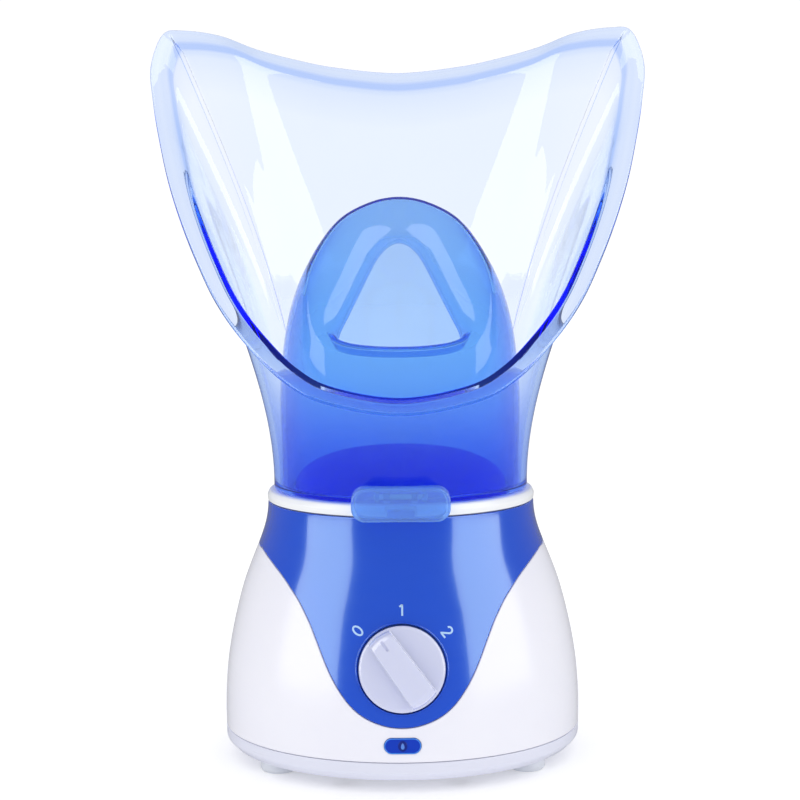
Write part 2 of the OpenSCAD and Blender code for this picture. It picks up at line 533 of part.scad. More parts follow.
// Edge of the three-cornered steam hole, as [x, z]; it lies in a sloping plane.
hole = [[0, 200], [4.2, 198.4], [8, 194.5], [11.4, 188.5], [15.2, 181], [19.3, 173],
    [22.6, 166.3], [22.4, 163], [17.5, 161], [9, 160], [0, 159.7]];
nc = len(crest) - 1;
function hole_3(p) = [p[0], -31 + 0.9 * (p[1] - 159.7), p[1]];
function pick(v, i, n) = i < 0 ? flip(v[-i]) : i > n ? flip(v[2 * n - i]) : v[i];
function curve(v, s) = let (n = len(v) - 1, i = floor(s), f = s - i)
    cr(pick(v, i - 1, n), pick(v, i, n), pick(v, i + 1, n), pick(v, i + 2, n), f);
hole3 = [for (p = hole) hole_3(p)];
cone_foot = 107;
out_n = unit([0, -0.74, 0.67]);
// Angle of the base circle that belongs to lip parameter s: 180 at the rear.
function foot_angle(s) = 180 - 180 * s / nc;
function foot_pt(s) = [cone_r * sin(foot_angle(s)), -cone_r * cos(foot_angle(s)), cone_foot];
function lean(s) = let (k = s / nc) 0.85 * pow(1 - k, 1.2) + 0.05;
function climb(s) = let (c = curve(crest, s), h = norm([c[0], c[1] + 18]), w = lean(s))
    unit([-w * c[0] / h, -w * (c[1] + 18) / h, 1 - 0.35 * w]);
// Outside of the cone, from the foot (u = 0) to the crest (u = 1)
function cone_out(s, u) = let (b = foot_pt(s), c = curve(crest, s), L = norm(c - b))
    bz([b, b + [0, 0, 0.35 * L], c - 0.36 * L * climb(s), c], u);
// Roll from the crest down to the steam hole
function cone_in(s, u) = let (c = curve(crest, s), h = curve(hole3, s), L = norm(h - c), d = h - c,
    q = unit(d - (d * out_n) * out_n))
    bz([c, c + 0.35 * L * q + 0.18 * L * climb(s), h + 0.42 * L * out_n - 0.05 * L * q, h], u);
cone_rows = 11;
lip_rows = 5;
function cone_line(s) = concat([for (j = [0 : cone_rows]) cone_out(s, j / cone_rows)],
    [for (j = [1 : lip_rows]) cone_in(s, j / lip_rows)]);
cone_step = 3;
lines = [for (i = [0 : nc * cone_step]) cone_line(i / cone_step)];
all_lines = concat(lines, [for (i = [nc * cone_step - 1 : -1 : 1]) [for (p = lines[i]) flip(p)]]);
na = len(all_lines);
nb = len(lines[0]);
// Surface normal of the outer skin at grid point i, j
function skin_n(i, j) = unit(cross(
    all_lines[(i + 1) % na][j] - all_lines[(i + na - 1) % na][j],
    all_lines[i][min(j + 1, nb - 1)] - all_lines[i][max(j - 1, 0)]));
function inner(i, j) = all_lines[i][j] + cone_t * skin_n(i, j) * (j == 0 ? 1 : 1);
function cone_section(i) = concat(all_lines[i],
    [for (j = [nb - 1 : -1 : 0]) let (p = inner(i, j)) [p[0], p[1], j == 0 ? cone_foot : p[2]]]);
module nose_cone() color(cone_blue) loop_skin([for (i = [0 : na - 1]) cone_section(i)]);

base_shell();
blue_cover();
bottom_plate();
rubber_feet();
bottom_screws();
cover_screws();
deck_screws();
steam_deck();
water_cup();
cup_seal();
splash_guard();
heater_plate();
heating_element();
heater_bracket();
heater_screws();
thermostat();
thermal_fuse();
rotary_switch();
switch_nut();
indicator_lens();
neon_lamp();
lamp_holder();
lamp_resistor();
terminal_block();
cord_gland();
wire_switch_feed();
wire_heater_live();
wire_heater_neutral();
lamp_leads();
hinge_pin();
face_hood();
hood_collar();
latch_pin();
latch_tab();
nose_cone();
knob();
switch_shaft();
knob_clip();
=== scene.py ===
import math
import bmesh
import bpy
import numpy as np
from mathutils import Matrix, Vector

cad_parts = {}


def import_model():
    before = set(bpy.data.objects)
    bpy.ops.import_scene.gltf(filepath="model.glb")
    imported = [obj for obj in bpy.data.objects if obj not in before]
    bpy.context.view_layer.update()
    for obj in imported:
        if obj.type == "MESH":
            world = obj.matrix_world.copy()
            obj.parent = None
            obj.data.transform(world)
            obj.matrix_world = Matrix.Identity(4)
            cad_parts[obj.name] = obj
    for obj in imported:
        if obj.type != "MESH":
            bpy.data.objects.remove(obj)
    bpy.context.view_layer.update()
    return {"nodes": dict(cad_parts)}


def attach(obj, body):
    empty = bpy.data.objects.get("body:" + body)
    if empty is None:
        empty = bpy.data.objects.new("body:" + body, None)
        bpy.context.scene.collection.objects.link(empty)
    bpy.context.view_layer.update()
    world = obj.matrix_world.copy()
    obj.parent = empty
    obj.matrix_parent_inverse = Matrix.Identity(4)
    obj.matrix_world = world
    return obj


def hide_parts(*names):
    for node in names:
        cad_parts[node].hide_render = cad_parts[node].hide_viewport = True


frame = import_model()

MM = 0.001
scene = bpy.context.scene


# ------------------------------------------------------------------ camera
cam_data = bpy.data.cameras.new("camera")
cam = bpy.data.objects.new("camera", cam_data)
scene.collection.objects.link(cam)
cam.location = (0.0, -0.870, 0.229)
cam.rotation_euler = (Matrix.Rotation(math.radians(84.07), 3, "X") @ Matrix.Rotation(math.radians(-0.45), 3, "Z")).to_euler()
cam_data.lens = 100.4
cam_data.sensor_width = 36
cam_data.clip_start = 0.01
scene.camera = cam


# ------------------------------------------------------------------ materials
def new_mat(name):
    m = bpy.data.materials.new(name)
    m.use_nodes = True
    nt = m.node_tree
    b = nt.nodes["Principled BSDF"]
    return m, nt, b


def lin(c):
    return tuple((x / 12.92 if x <= 0.04045 else ((x + 0.055) / 1.055) ** 2.4) for x in (v / 255.0 for v in c))


def coords(nt, scale=1.0):
    tc = nt.nodes.new("ShaderNodeTexCoord")
    mp = nt.nodes.new("ShaderNodeMapping")
    mp.inputs["Scale"].default_value = (scale, scale, scale)
    nt.links.new(tc.outputs["Object"], mp.inputs["Vector"])
    return mp.outputs["Vector"]


def noise(nt, vec, scale, detail=3.0, rough=0.5):
    n = nt.nodes.new("ShaderNodeTexNoise")
    n.inputs["Scale"].default_value = scale
    n.inputs["Detail"].default_value = detail
    n.inputs["Roughness"].default_value = rough
    nt.links.new(vec, n.inputs["Vector"])
    return n.outputs["Fac"]


def ramp(nt, fac, lo, hi):
    r = nt.nodes.new("ShaderNodeMapRange")
    r.inputs["From Min"].default_value = 0.3
    r.inputs["From Max"].default_value = 0.7
    r.inputs["To Min"].default_value = lo
    r.inputs["To Max"].default_value = hi
    nt.links.new(fac, r.inputs["Value"])
    return r.outputs["Result"]


def mix_col(nt, fac, a, b):
    m = nt.nodes.new("ShaderNodeMix")
    m.data_type = "RGBA"
    nt.links.new(fac, m.inputs[0])
    m.inputs[6].default_value = (*a, 1)
    m.inputs[7].default_value = (*b, 1)
    return m.outputs[2]


def bump(nt, height, strength, dist, normal=None):
    n = nt.nodes.new("ShaderNodeBump")
    n.inputs["Strength"].default_value = strength
    n.inputs["Distance"].default_value = dist
    nt.links.new(height, n.inputs["Height"])
    if normal is not None:
        nt.links.new(normal, n.inputs["Normal"])
    return n.outputs["Normal"]


def plastic(name, col, rough=0.25, var=0.03, spec=0.5, coat=0.0, coat_rough=0.05, peel=0.12, grain=0.0, sss=0.0,
            tint=None):
    """Moulded plastic: faint tint variation, orange peel, fine handling scratches."""
    m, nt, b = new_mat(name)
    v = coords(nt)
    big = noise(nt, v, 30, 3)
    dark = tuple(max(0.0, c * (1 - var)) for c in col)
    light = tuple(min(1.0, c * (1 + var)) for c in col)
    nt.links.new(mix_col(nt, ramp(nt, big, 0.0, 1.0), dark, light), b.inputs["Base Color"])
    fine = noise(nt, v, 900, 2)
    sc = nt.nodes.new("ShaderNodeTexNoise")
    sc.inputs["Scale"].default_value = 60
    sc.inputs["Detail"].default_value = 6
    sc.inputs["Roughness"].default_value = 0.75
    mp = nt.nodes.new("ShaderNodeMapping")
    mp.inputs["Scale"].default_value = (1, 1, 14)
    mp.inputs["Rotation"].default_value = (0.3, 0.5, 0.2)
    nt.links.new(v, mp.inputs["Vector"])
    nt.links.new(mp.outputs["Vector"], sc.inputs["Vector"])
    nt.links.new(ramp(nt, sc.outputs["Fac"], rough * 0.85, rough * 1.15), b.inputs["Roughness"])
    n1 = bump(nt, noise(nt, v, 220, 2), peel, 0.00006)
    n2 = bump(nt, fine, 0.15 + grain, 0.00001 + 0.00004 * grain, n1)
    nt.links.new(n2, b.inputs["Normal"])
    b.inputs["Specular IOR Level"].default_value = spec
    if tint is not None:
        b.inputs["Specular Tint"].default_value = (*tint, 1)
    b.inputs["Coat Weight"].default_value = coat
    b.inputs["Coat Roughness"].default_value = coat_rough
    if sss:
        b.inputs["Subsurface Weight"].default_value = sss
        b.inputs["Subsurface Radius"].default_value = (0.004, 0.004, 0.005)
        b.inputs["Subsurface Scale"].default_value = 0.5
    return m


def clear(name, tint, ior=1.45, rough=0.02, shadow=(0.9, 0.95, 1.0), absorb=None, density=0.0, peel=0.05, trans=1.0,
          painted_shade_ramp=None, spec=0.5, axis="Z", painted_graze_shade=None, painted_edge_shade=None, stray=(0.40, 0.52, 0.96)):
    """Clear or tinted plastic. Lamps reach what is behind it through a plain tinted pass."""
    m, nt, b = new_mat(name)
    v = coords(nt)
    big = noise(nt, v, 22, 2)
    lo = tuple(c * 0.985 for c in tint)
    col = mix_col(nt, ramp(nt, big, 0.0, 1.0), lo, tint)
    if painted_shade_ramp is not None:
        # painted shade: a deeper colour towards one end of the axis (the hood's foot, the cone's front), standing in
        # for where the wall looks darker
        sep = nt.nodes.new("ShaderNodeSeparateXYZ")
        nt.links.new(v, sep.inputs[0])
        mr = nt.nodes.new("ShaderNodeMapRange")
        mr.interpolation_type = "SMOOTHSTEP"
        mr.inputs["From Min"].default_value = painted_shade_ramp[1]
        mr.inputs["From Max"].default_value = painted_shade_ramp[2]
        nt.links.new(sep.outputs[axis], mr.inputs["Value"])
        m3 = nt.nodes.new("ShaderNodeMix")
        m3.data_type = "RGBA"
        nt.links.new(mr.outputs["Result"], m3.inputs[0])
        m3.inputs[6].default_value = (*painted_shade_ramp[0], 1)
        nt.links.new(col, m3.inputs[7])
        col = m3.outputs[2]
    if painted_graze_shade is not None:
        # painted shade by viewing angle: the slanting way through the wall is longer, so the colour is painted deeper
        # there
        lw = nt.nodes.new("ShaderNodeLayerWeight")
        lw.inputs["Blend"].default_value = 0.5
        mr = nt.nodes.new("ShaderNodeMapRange")
        mr.interpolation_type = "SMOOTHSTEP"
        mr.inputs["From Min"].default_value = painted_graze_shade[1]
        mr.inputs["From Max"].default_value = painted_graze_shade[2]
        nt.links.new(lw.outputs["Facing"], mr.inputs["Value"])
        m4 = nt.nodes.new("ShaderNodeMix")
        m4.data_type = "RGBA"
        nt.links.new(mr.outputs["Result"], m4.inputs[0])
        nt.links.new(col, m4.inputs[6])
        m4.inputs[7].default_value = (*painted_graze_shade[0], 1)
        col = m4.outputs[2]
    if painted_edge_shade is not None:
        # painted shade: a per-point weight mixes in a deeper colour along the rim edges, where the clear wall looks
        # dark
        at = nt.nodes.new("ShaderNodeAttribute")
        at.attribute_name = "edge_shade_weight"
        m5 = nt.nodes.new("ShaderNodeMix")
        m5.data_type = "RGBA"
        nt.links.new(at.outputs["Fac"], m5.inputs[0])
        nt.links.new(col, m5.inputs[6])
        m5.inputs[7].default_value = (*painted_edge_shade, 1)
        col = m5.outputs[2]
    nt.links.new(col, b.inputs["Base Color"])
    nt.links.new(ramp(nt, noise(nt, v, 160, 4), rough * 0.7, rough * 1.4), b.inputs["Roughness"])
    nt.links.new(bump(nt, noise(nt, v, 90, 2), peel, 0.00005), b.inputs["Normal"])
    b.inputs["Transmission Weight"].default_value = trans
    b.inputs["Specular IOR Level"].default_value = spec
    b.inputs["IOR"].default_value = ior
    out = nt.nodes["Material Output"]
    lp = nt.nodes.new("ShaderNodeLightPath")
    tr = nt.nodes.new("ShaderNodeBsdfTransparent")
    tr.inputs["Color"].default_value = (*shadow, 1)
    mx = nt.nodes.new("ShaderNodeMixShader")
    # lamps, and the few rays caught inside the wall, go straight on
    cm = nt.nodes.new("ShaderNodeMath")
    cm.operation = "GREATER_THAN"
    nt.links.new(lp.outputs["Ray Depth"], cm.inputs[0])
    cm.inputs[1].default_value = 11.5
    mm = nt.nodes.new("ShaderNodeMath")
    mm.operation = "MAXIMUM"
    nt.links.new(cm.outputs[0], mm.inputs[0])
    nt.links.new(lp.outputs["Is Shadow Ray"], mm.inputs[1])
    nt.links.new(mm.outputs[0], mx.inputs[0])
    sc = nt.nodes.new("ShaderNodeMix")
    sc.data_type = "RGBA"
    nt.links.new(lp.outputs["Is Shadow Ray"], sc.inputs[0])
    sc.inputs[6].default_value = (*stray, 1)
    sc.inputs[7].default_value = (*shadow, 1)
    nt.links.new(sc.outputs[2], tr.inputs["Color"])
    nt.links.new(b.outputs[0], mx.inputs[1])
    nt.links.new(tr.outputs[0], mx.inputs[2])
    nt.links.new(mx.outputs[0], out.inputs["Surface"])
    if absorb is not None:
        va = nt.nodes.new("ShaderNodeVolumeAbsorption")
        va.inputs["Color"].default_value = (*absorb, 1)
        va.inputs["Density"].default_value = density
        nt.links.new(va.outputs[0], out.inputs["Volume"])
    return m


def metal(name, col, rough=0.3, brushed=0.0):
    m, nt, b = new_mat(name)
    v = coords(nt)
    nt.links.new(mix_col(nt, ramp(nt, noise(nt, v, 60, 4), 0, 1), tuple(c * 0.9 for c in col), col), b.inputs["Base Color"])
    b.inputs["Metallic"].default_value = 1.0
    nt.links.new(ramp(nt, noise(nt, v, 140, 5), rough * 0.75, rough * 1.3), b.inputs["Roughness"])
    mp = nt.nodes.new("ShaderNodeMapping")
    mp.inputs["Scale"].default_value = (1, 1, 30 if brushed else 1)
    nt.links.new(v, mp.inputs["Vector"])
    nt.links.new(bump(nt, noise(nt, mp.outputs["Vector"], 300, 3), 0.1 + brushed, 0.00002), b.inputs["Normal"])
    return m


WHITE = plastic("white_abs", lin((245, 245, 255)), rough=0.22, var=0.012, spec=0.35, peel=0.10)
# the bottom plate is a darker white than the shell: painted shade along the foot of the housing
PLATE = plastic("white_plate", lin((229, 231, 246)), rough=0.3, var=0.012, spec=0.3)
RING = plastic("white_ring", lin((250, 252, 255)), rough=0.25, var=0.012, spec=0.4)
BLUE = plastic("blue_abs", lin((16, 76, 216)), rough=0.17, var=0.03, spec=1.0, coat=0.7, coat_rough=0.06, peel=0.06,
               tint=(0.60, 1.0, 0.9))
KNOB = plastic("knob_white", lin((216, 220, 246)), rough=0.22, var=0.015, spec=0.5, coat=0.7, coat_rough=0.08, sss=0.15)
PRINT = plastic("print_pale_blue", lin((178, 214, 252)), rough=0.4, var=0.03)
# HOOD and CONE carry painted shade: a deeper colour towards the hood's foot and the cone's front, at grazing view, and
# along the hood's rim edges
HOOD = clear("clear_blue_pc", (0.97, 0.98, 1.0), ior=1.47, rough=0.012, shadow=(0.86, 0.91, 1.0),
             absorb=(0.02, 0.44, 1.0), density=78, painted_shade_ramp=((0.36, 0.48, 0.93), 0.104, 0.158), spec=0.3,
             painted_graze_shade=((0.52, 0.66, 0.98), 0.40, 0.98), painted_edge_shade=(0.42, 0.56, 0.96), stray=(0.6, 0.7, 0.97))
CONE = clear("cone_blue_pc", (0.84, 0.95, 1.0), ior=1.45, rough=0.03, shadow=(0.5, 0.7, 0.97),
             absorb=(0.0, 0.47, 0.98), density=215, trans=0.93, painted_graze_shade=((0.22, 0.36, 0.88), 0.35, 0.95),
             painted_shade_ramp=((0.44, 0.76, 0.985), -0.040, 0.024), axis="Y", spec=0.3, stray=(0.2, 0.35, 0.9))
TAB = clear("tab_blue", (0.30, 0.55, 0.98), ior=1.42, rough=0.16, shadow=(0.55, 0.72, 0.98), trans=0.72)
GUARD = plastic("guard_blue", lin((5, 38, 228)), rough=0.5, var=0.03, spec=0.12, sss=0.3)
FOOT = plastic("foot_rubber", lin((222, 226, 235)), rough=0.5, var=0.03, grain=0.4)
LENS = plastic("lens_blue", lin((20, 62, 192)), rough=0.3, var=0.04, spec=0.12)
# painted highlight: a much lighter blue for the bead round the lens edge, where the rim catches the light
LENS_RIM_SHEEN = plastic("lens_rim_sheen", lin((70, 146, 246)), rough=0.15, var=0.04, coat=0.5)
# painted view through the lens: a dark blue for painted shade in the hollow behind it, a lighter blue for a painted
# highlight on the neon bulb
LENS_SHADE_PAINT = plastic("lens_painted_shade", lin((8, 36, 136)), rough=0.12, var=0.04, coat=0.6)
LENS_GLINT_PAINT = plastic("lens_painted_glint", lin((92, 142, 232)), rough=0.2, var=0.03)
ALU = metal("aluminium", (0.83, 0.84, 0.86), 0.26, 0.4)
STEEL = metal("steel", (0.70, 0.71, 0.73), 0.30)
ELEMENT = metal("element", (0.34, 0.31, 0.30), 0.5)
SEAL = plastic("silicone", lin((205, 96, 78)), rough=0.55, var=0.05, grain=0.3)
BLACK = plastic("black_rubber", lin((42, 42, 46)), rough=0.55, var=0.08, grain=0.5)
PHENOL = plastic("phenolic", lin((52, 46, 44)), rough=0.45, var=0.1, grain=0.5)
IVORY = plastic("ivory_plastic", lin((228, 224, 208)), rough=0.4, var=0.03, grain=0.3)
CERAMIC = plastic("ceramic", lin((236, 233, 222)), rough=0.3, var=0.03)
LAMP = clear("lamp_glass", (1.0, 0.86, 0.70), ior=1.45, rough=0.03)
RESIST = plastic("resistor", lin((186, 156, 112)), rough=0.35, var=0.06)
W_BROWN = plastic("wire_brown", lin((104, 62, 34)), rough=0.4, var=0.05)
W_RED = plastic("wire_red", lin((196, 36, 30)), rough=0.45, var=0.05)
W_BLUE = plastic("wire_blue", lin((34, 70, 176)), rough=0.4, var=0.05)
W_WHITE = plastic("wire_white", lin((232, 232, 228)), rough=0.4, var=0.03)


# ------------------------------------------------------------------ mesh tools
def obj(name, verts, faces, mat, body, node=None, smooth=True, angle=None):
    me = bpy.data.meshes.new(name)
    me.from_pydata([tuple(float(c) * MM for c in v) for v in verts], [], [tuple(int(i) for i in f) for f in faces])
    me.validate()
    bm = bmesh.new()
    bm.from_mesh(me)
    bmesh.ops.recalc_face_normals(bm, faces=bm.faces)
    bm.to_mesh(me)
    bm.free()
    for p in me.polygons:
        p.use_smooth = smooth
    o = bpy.data.objects.new(name, me)
    scene.collection.objects.link(o)
    me.materials.append(mat)
    if angle:
        sharp(o, angle)
    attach(o, body)
    if node:
        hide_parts(*([node] if isinstance(node, str) else node))
    return o


def sharp(o, angle):
    """Marks edges sharper than the angle, so that flat and round areas shade right."""
    me = o.data
    bm = bmesh.new()
    bm.from_mesh(me)
    lim = math.radians(angle)
    for e in bm.edges:
        e.smooth = not (len(e.link_faces) == 2 and e.calc_face_angle(0.0) > lim)
    bm.to_mesh(me)
    bm.free()


def loops_mesh(rings, closed_rows=True, closed_cols=True):
    """rings: list of equally long point lists -> verts, faces of the skin."""
    m, n = len(rings), len(rings[0])
    verts = [p for r in rings for p in r]
    faces = []
    for i in range(m if closed_cols else m - 1):
        a, b = i * n, ((i + 1) % m) * n
        for k in range(n if closed_rows else n - 1):
            faces.append((a + k, b + k, b + (k + 1) % n, a + (k + 1) % n))
    return verts, faces


def revolve(profile, n=192, z0=0.0):
    """Closed or axis-touching profile [(r, z)] -> verts, faces."""
    verts, faces, idx = [], [], []
    for r, z in profile:
        if r < 1e-6:
            idx.append([len(verts)] * n)
            verts.append((0.0, 0.0, z + z0))
        else:
            idx.append(list(range(len(verts), len(verts) + n)))
            verts += [(r * math.cos(2 * math.pi * k / n), r * math.sin(2 * math.pi * k / n), z + z0) for k in range(n)]
    m = len(profile)
    for i in range(m):
        a, b = idx[i], idx[(i + 1) % m]
        if a[0] == a[1] and b[0] == b[1]:
            continue
        for k in range(n):
            f = [a[k], a[(k + 1) % n], b[(k + 1) % n], b[k]]
            g = []
            for q in f:
                if q not in g:
                    g.append(q)
            if len(g) > 2:
                faces.append(tuple(g))
    return verts, faces


def rounded(poly, radii, steps=6):
    """Rounds the corners of a closed (r, z) polygon; radii is one value or one per corner."""
    n = len(poly)
    if not hasattr(radii, "__len__"):
        radii = [radii] * n
    out = []
    for i in range(n):
        p = np.array(poly[i], float)
        a = np.array(poly[i - 1], float) - p
        b = np.array(poly[(i + 1) % n], float) - p
        la, lb = np.linalg.norm(a), np.linalg.norm(b)
        ua, ub = a / la, b / lb
        cosang = float(np.clip(ua @ ub, -1, 1))
        ang = math.acos(cosang)
        r = radii[i]
        if r <= 0 or ang > math.pi - 0.02:
            out.append(tuple(p))
            continue
        d = min(r / math.tan(ang / 2), 0.48 * la, 0.48 * lb)
        r = d * math.tan(ang / 2)
        c = p + (ua + ub) / np.linalg.norm(ua + ub) * (r / math.sin(ang / 2))
        p0, p1 = p + ua * d, p + ub * d
        v0, v1 = p0 - c, p1 - c
        w = math.acos(float(np.clip(v0 @ v1 / (np.linalg.norm(v0) * np.linalg.norm(v1)), -1, 1)))
        for k in range(steps + 1):
            t = k / steps
            v = (v0 * math.sin((1 - t) * w) + v1 * math.sin(t * w)) / math.sin(w)
            out.append(tuple(c + v))
    return out


def cr(a, b, c, d, f):
    return 0.5 * (2 * b + (c - a) * f + (2 * a - 5 * b + 4 * c - d) * f * f + (3 * b - 3 * c + d - a) * f ** 3)


def unit(v):
    v = np.asarray(v, float)
    return v / np.linalg.norm(v)


def bez(p, u):
    return (1 - u) ** 3 * p[0] + 3 * u * (1 - u) ** 2 * p[1] + 3 * u * u * (1 - u) * p[2] + u ** 3 * p[3]


def apply_all(o):
    """Bakes an object's modifiers into its mesh."""
    dg = bpy.context.evaluated_depsgraph_get()
    me = bpy.data.meshes.new_from_object(o.evaluated_get(dg))
    old = o.data
    o.modifiers.clear()
    o.data = me
    bpy.data.meshes.remove(old)


def cutter(name, verts, faces):
    me = bpy.data.meshes.new(name)
    me.from_pydata([tuple(float(c) * MM for c in v) for v in verts], [], faces)
    bm = bmesh.new()
    bm.from_mesh(me)
    bmesh.ops.recalc_face_normals(bm, faces=bm.faces)
    bm.to_mesh(me)
    bm.free()
    o = bpy.data.objects.new(name, me)
    scene.collection.objects.link(o)
    return o


def boolean(o, tools, op="DIFFERENCE"):
    for t in tools:
        md = o.modifiers.new("b", "BOOLEAN")
        md.operation = op
        md.solver = "EXACT"
        md.object = t
    bpy.context.view_layer.update()
    apply_all(o)
    for t in tools:
        me = t.data
        bpy.data.objects.remove(t)
        bpy.data.meshes.remove(me)


def prism(outline, y0, y1, xf=lambda p: p):
    """Straight prism from a closed 2-D outline (a, b), between depths y0 and y1."""
    n = len(outline)
    verts = [xf((a, y0, b)) for a, b in outline] + [xf((a, y1, b)) for a, b in outline]
    faces = [tuple(range(n)), tuple(range(2 * n - 1, n - 1, -1))]
    faces += [(i, (i + 1) % n, n + (i + 1) % n, n + i) for i in range(n)]
    return verts, faces


def pill(a, b, z, n=24):
    pts = []
    for s, t0 in ((1, -90), (-1, 90)):
        for k in range(n + 1):
            t = math.radians(t0 + 180 * k / n)
            pts.append((s * (a - b) + b * math.cos(t), z + b * math.sin(t)))
    return pts


# knob frame: local +Z is the outward normal of the housing
TILT = math.radians(10.5)
K0 = np.array([0, -67.1, 46.4])
KX = np.array([1.0, 0, 0])
KY = np.array([0, math.sin(TILT), math.cos(TILT)])
KZ = np.array([0, -math.cos(TILT), math.sin(TILT)])


def k2w(p):
    return K0 + p[0] * KX + p[1] * KY + p[2] * KZ


def w2k(p):
    d = np.asarray(p, float) - K0
    return np.array([d @ KX, d @ KY, d @ KZ])


# ------------------------------------------------------------------ housing
PROF = [(66.4, 4.5), (67.7, 4.9), (68.8, 6.2), (69.4, 9), (69.6, 11.8), (69.7, 18), (69.6, 24), (69.2, 31),
        (68.5, 38), (67.4, 45), (66.0, 52), (64.1, 60), (61.9, 68), (58.9, 76), (55.6, 84), (54.1, 88),
        (52.9, 92), (52.2, 96), (52.0, 100)]
_z = np.arange(-20, 130.01, 0.1)
_pr = np.interp(_z, [p[1] for p in PROF], [p[0] for p in PROF])
_pr[_z < 11.8] = 69.6 - 0.012 * (11.8 - _z[_z < 11.8])
_k = np.exp(-0.5 * (np.arange(-80, 81) * 0.1 / 2.2) ** 2)
_k /= _k.sum()
_sm = np.convolve(np.pad(_pr, 80, mode="edge"), _k, mode="valid")
_top = 52.0


def R(z):
    return np.interp(z, _z, _sm)


def dR(z):
    return (R(z + 0.3) - R(z - 0.3)) / 0.6


def surf(phi, z, d=0.0):
    """Point on the housing at azimuth phi (0 = front, + = right), moved inwards by d along the normal."""
    s = dR(z)
    q = math.sqrt(1 + s * s)
    r, zz = R(z) - d / q, z + d * s / q
    return np.array([r * math.sin(phi), -r * math.cos(phi), zz])


def surf_n(phi, z):
    s = dR(z)
    q = math.sqrt(1 + s * s)
    return np.array([math.sin(phi) / q, -math.cos(phi) / q, -s / q])


SEAM = [(0, 24.8), (5, 25.2), (10, 26.6), (13.8, 28.3), (17, 30.4), (19.8, 33), (22, 35.7), (24.5, 39.4), (26.5, 43),
        (28.2, 46.5), (29.7, 50), (31.1, 53.5), (32.6, 57), (34.3, 61), (36.5, 65), (38.8, 68.8), (41.7, 72.3),
        (44.7, 75.7), (48, 78.6), (50.8, 80.8), (53, 82.3), (54.4, 83)]


def _seam_table():
    c = np.array([(-SEAM[1][0], SEAM[1][1])] + SEAM + [(58.0, 83.0)], float)
    ph, zz = [], []
    for i in range(1, len(c) - 2):
        for f in np.linspace(0, 1, 20, endpoint=False):
            p = cr(c[i - 1], c[i], c[i + 1], c[i + 2], f)
            ph.append(math.asin(min(1, max(0, p[0]) / R(p[1]))))
            zz.append(p[1])
    for a in np.linspace(0, 90, 40):
        x = 54.4 * math.cos(math.radians(a))
        z = 83 + 3.2 * math.sin(math.radians(a))
        ph.append(math.pi - math.asin(min(1, x / R(z))))
        zz.append(z)
    ph, zz = np.array(ph), np.array(zz)
    o = np.argsort(ph)
    t = np.radians(np.arange(0, 180.01, 0.25))
    v = np.interp(t, ph[o], zz[o])
    full = np.concatenate([v[::-1], v[1:]])
    kk = np.exp(-0.5 * (np.arange(-12, 13) * 0.25 / 0.9) ** 2)
    kk /= kk.sum()
    full = np.convolve(np.pad(full, 12, mode="reflect"), kk, mode="valid")
    return np.radians(np.arange(-180, 180.01, 0.25)), full


SEAM_PHI, SEAM_Z = _seam_table()


def seam_z(phi):
    return float(np.interp((phi + math.pi) % (2 * math.pi) - math.pi, SEAM_PHI, SEAM_Z))


def seam_frame(phi):
    """Seam point, and the direction across the seam in the surface, upwards."""
    p = surf(phi, seam_z(phi))
    t = unit(surf(phi + 0.004, seam_z(phi + 0.004)) - surf(phi - 0.004, seam_z(phi - 0.004)))
    n = surf_n(phi, seam_z(phi))
    up = np.cross(n, t)
    return p, (up if up[2] > 0 or abs(up[2]) < 1e-9 else -up), n


def to_param(p):
    """Azimuth and height of the housing point nearest p."""
    return math.atan2(p[0], -p[1]), float(p[2])


def shell_skin(side, z_far, far_r, wall=2.2, cols=360, rows=44, gap=0.12, er=0.45):
    """One housing shell between the seam and height z_far. side = -1: below the seam, 1: above.
    Both edges are rounded."""
    rings = []
    for i in range(cols):
        # denser columns where the seam runs steeply
        t = 2 * math.pi * i / cols - math.pi
        phi = t - 0.42 * math.sin(2 * t) * 0.5
        p, up, n = seam_frame(phi)
        e = p + side * up * (gap + er)
        pe, ze = to_param(e)
        # keep the column's azimuth unwrapped
        while pe - phi > math.pi:
            pe -= 2 * math.pi
        while pe - phi < -math.pi:
            pe += 2 * math.pi
        zf = z_far
        col = []
        for k in range(5):
            a = math.pi / 2 * k / 4
            # a = 0: on the end face, far_r below the skin; a = 90: on the skin
            col.append(surf(phi, zf - side * far_r * (1 - math.cos(a)), far_r * (1 - math.sin(a))))
        z1 = zf - side * far_r
        for k in range(1, rows):
            f = k / rows
            g = f
            col.append(surf(phi + (pe - phi) * g, z1 + (ze - z1) * g))
        q0 = surf(pe, ze)
        nn = surf_n(pe, ze)
        for k in range(6):
            a = math.pi / 2 * k / 5
            col.append(q0 - side * up * er * math.sin(a) - nn * er * (1 - math.cos(a)))
        # inside: straight back through the wall, then down the inner face
        col.append(q0 - side * up * er - nn * wall)
        for k in range(rows // 3, 0, -1):
            f = k / (rows // 3 + 1)
            col.append(surf(phi + (pe - phi) * f, z1 + (ze - z1) * f, wall))
        col.append(surf(phi, zf, wall))
        rings.append(col)
    return loops_mesh(rings)


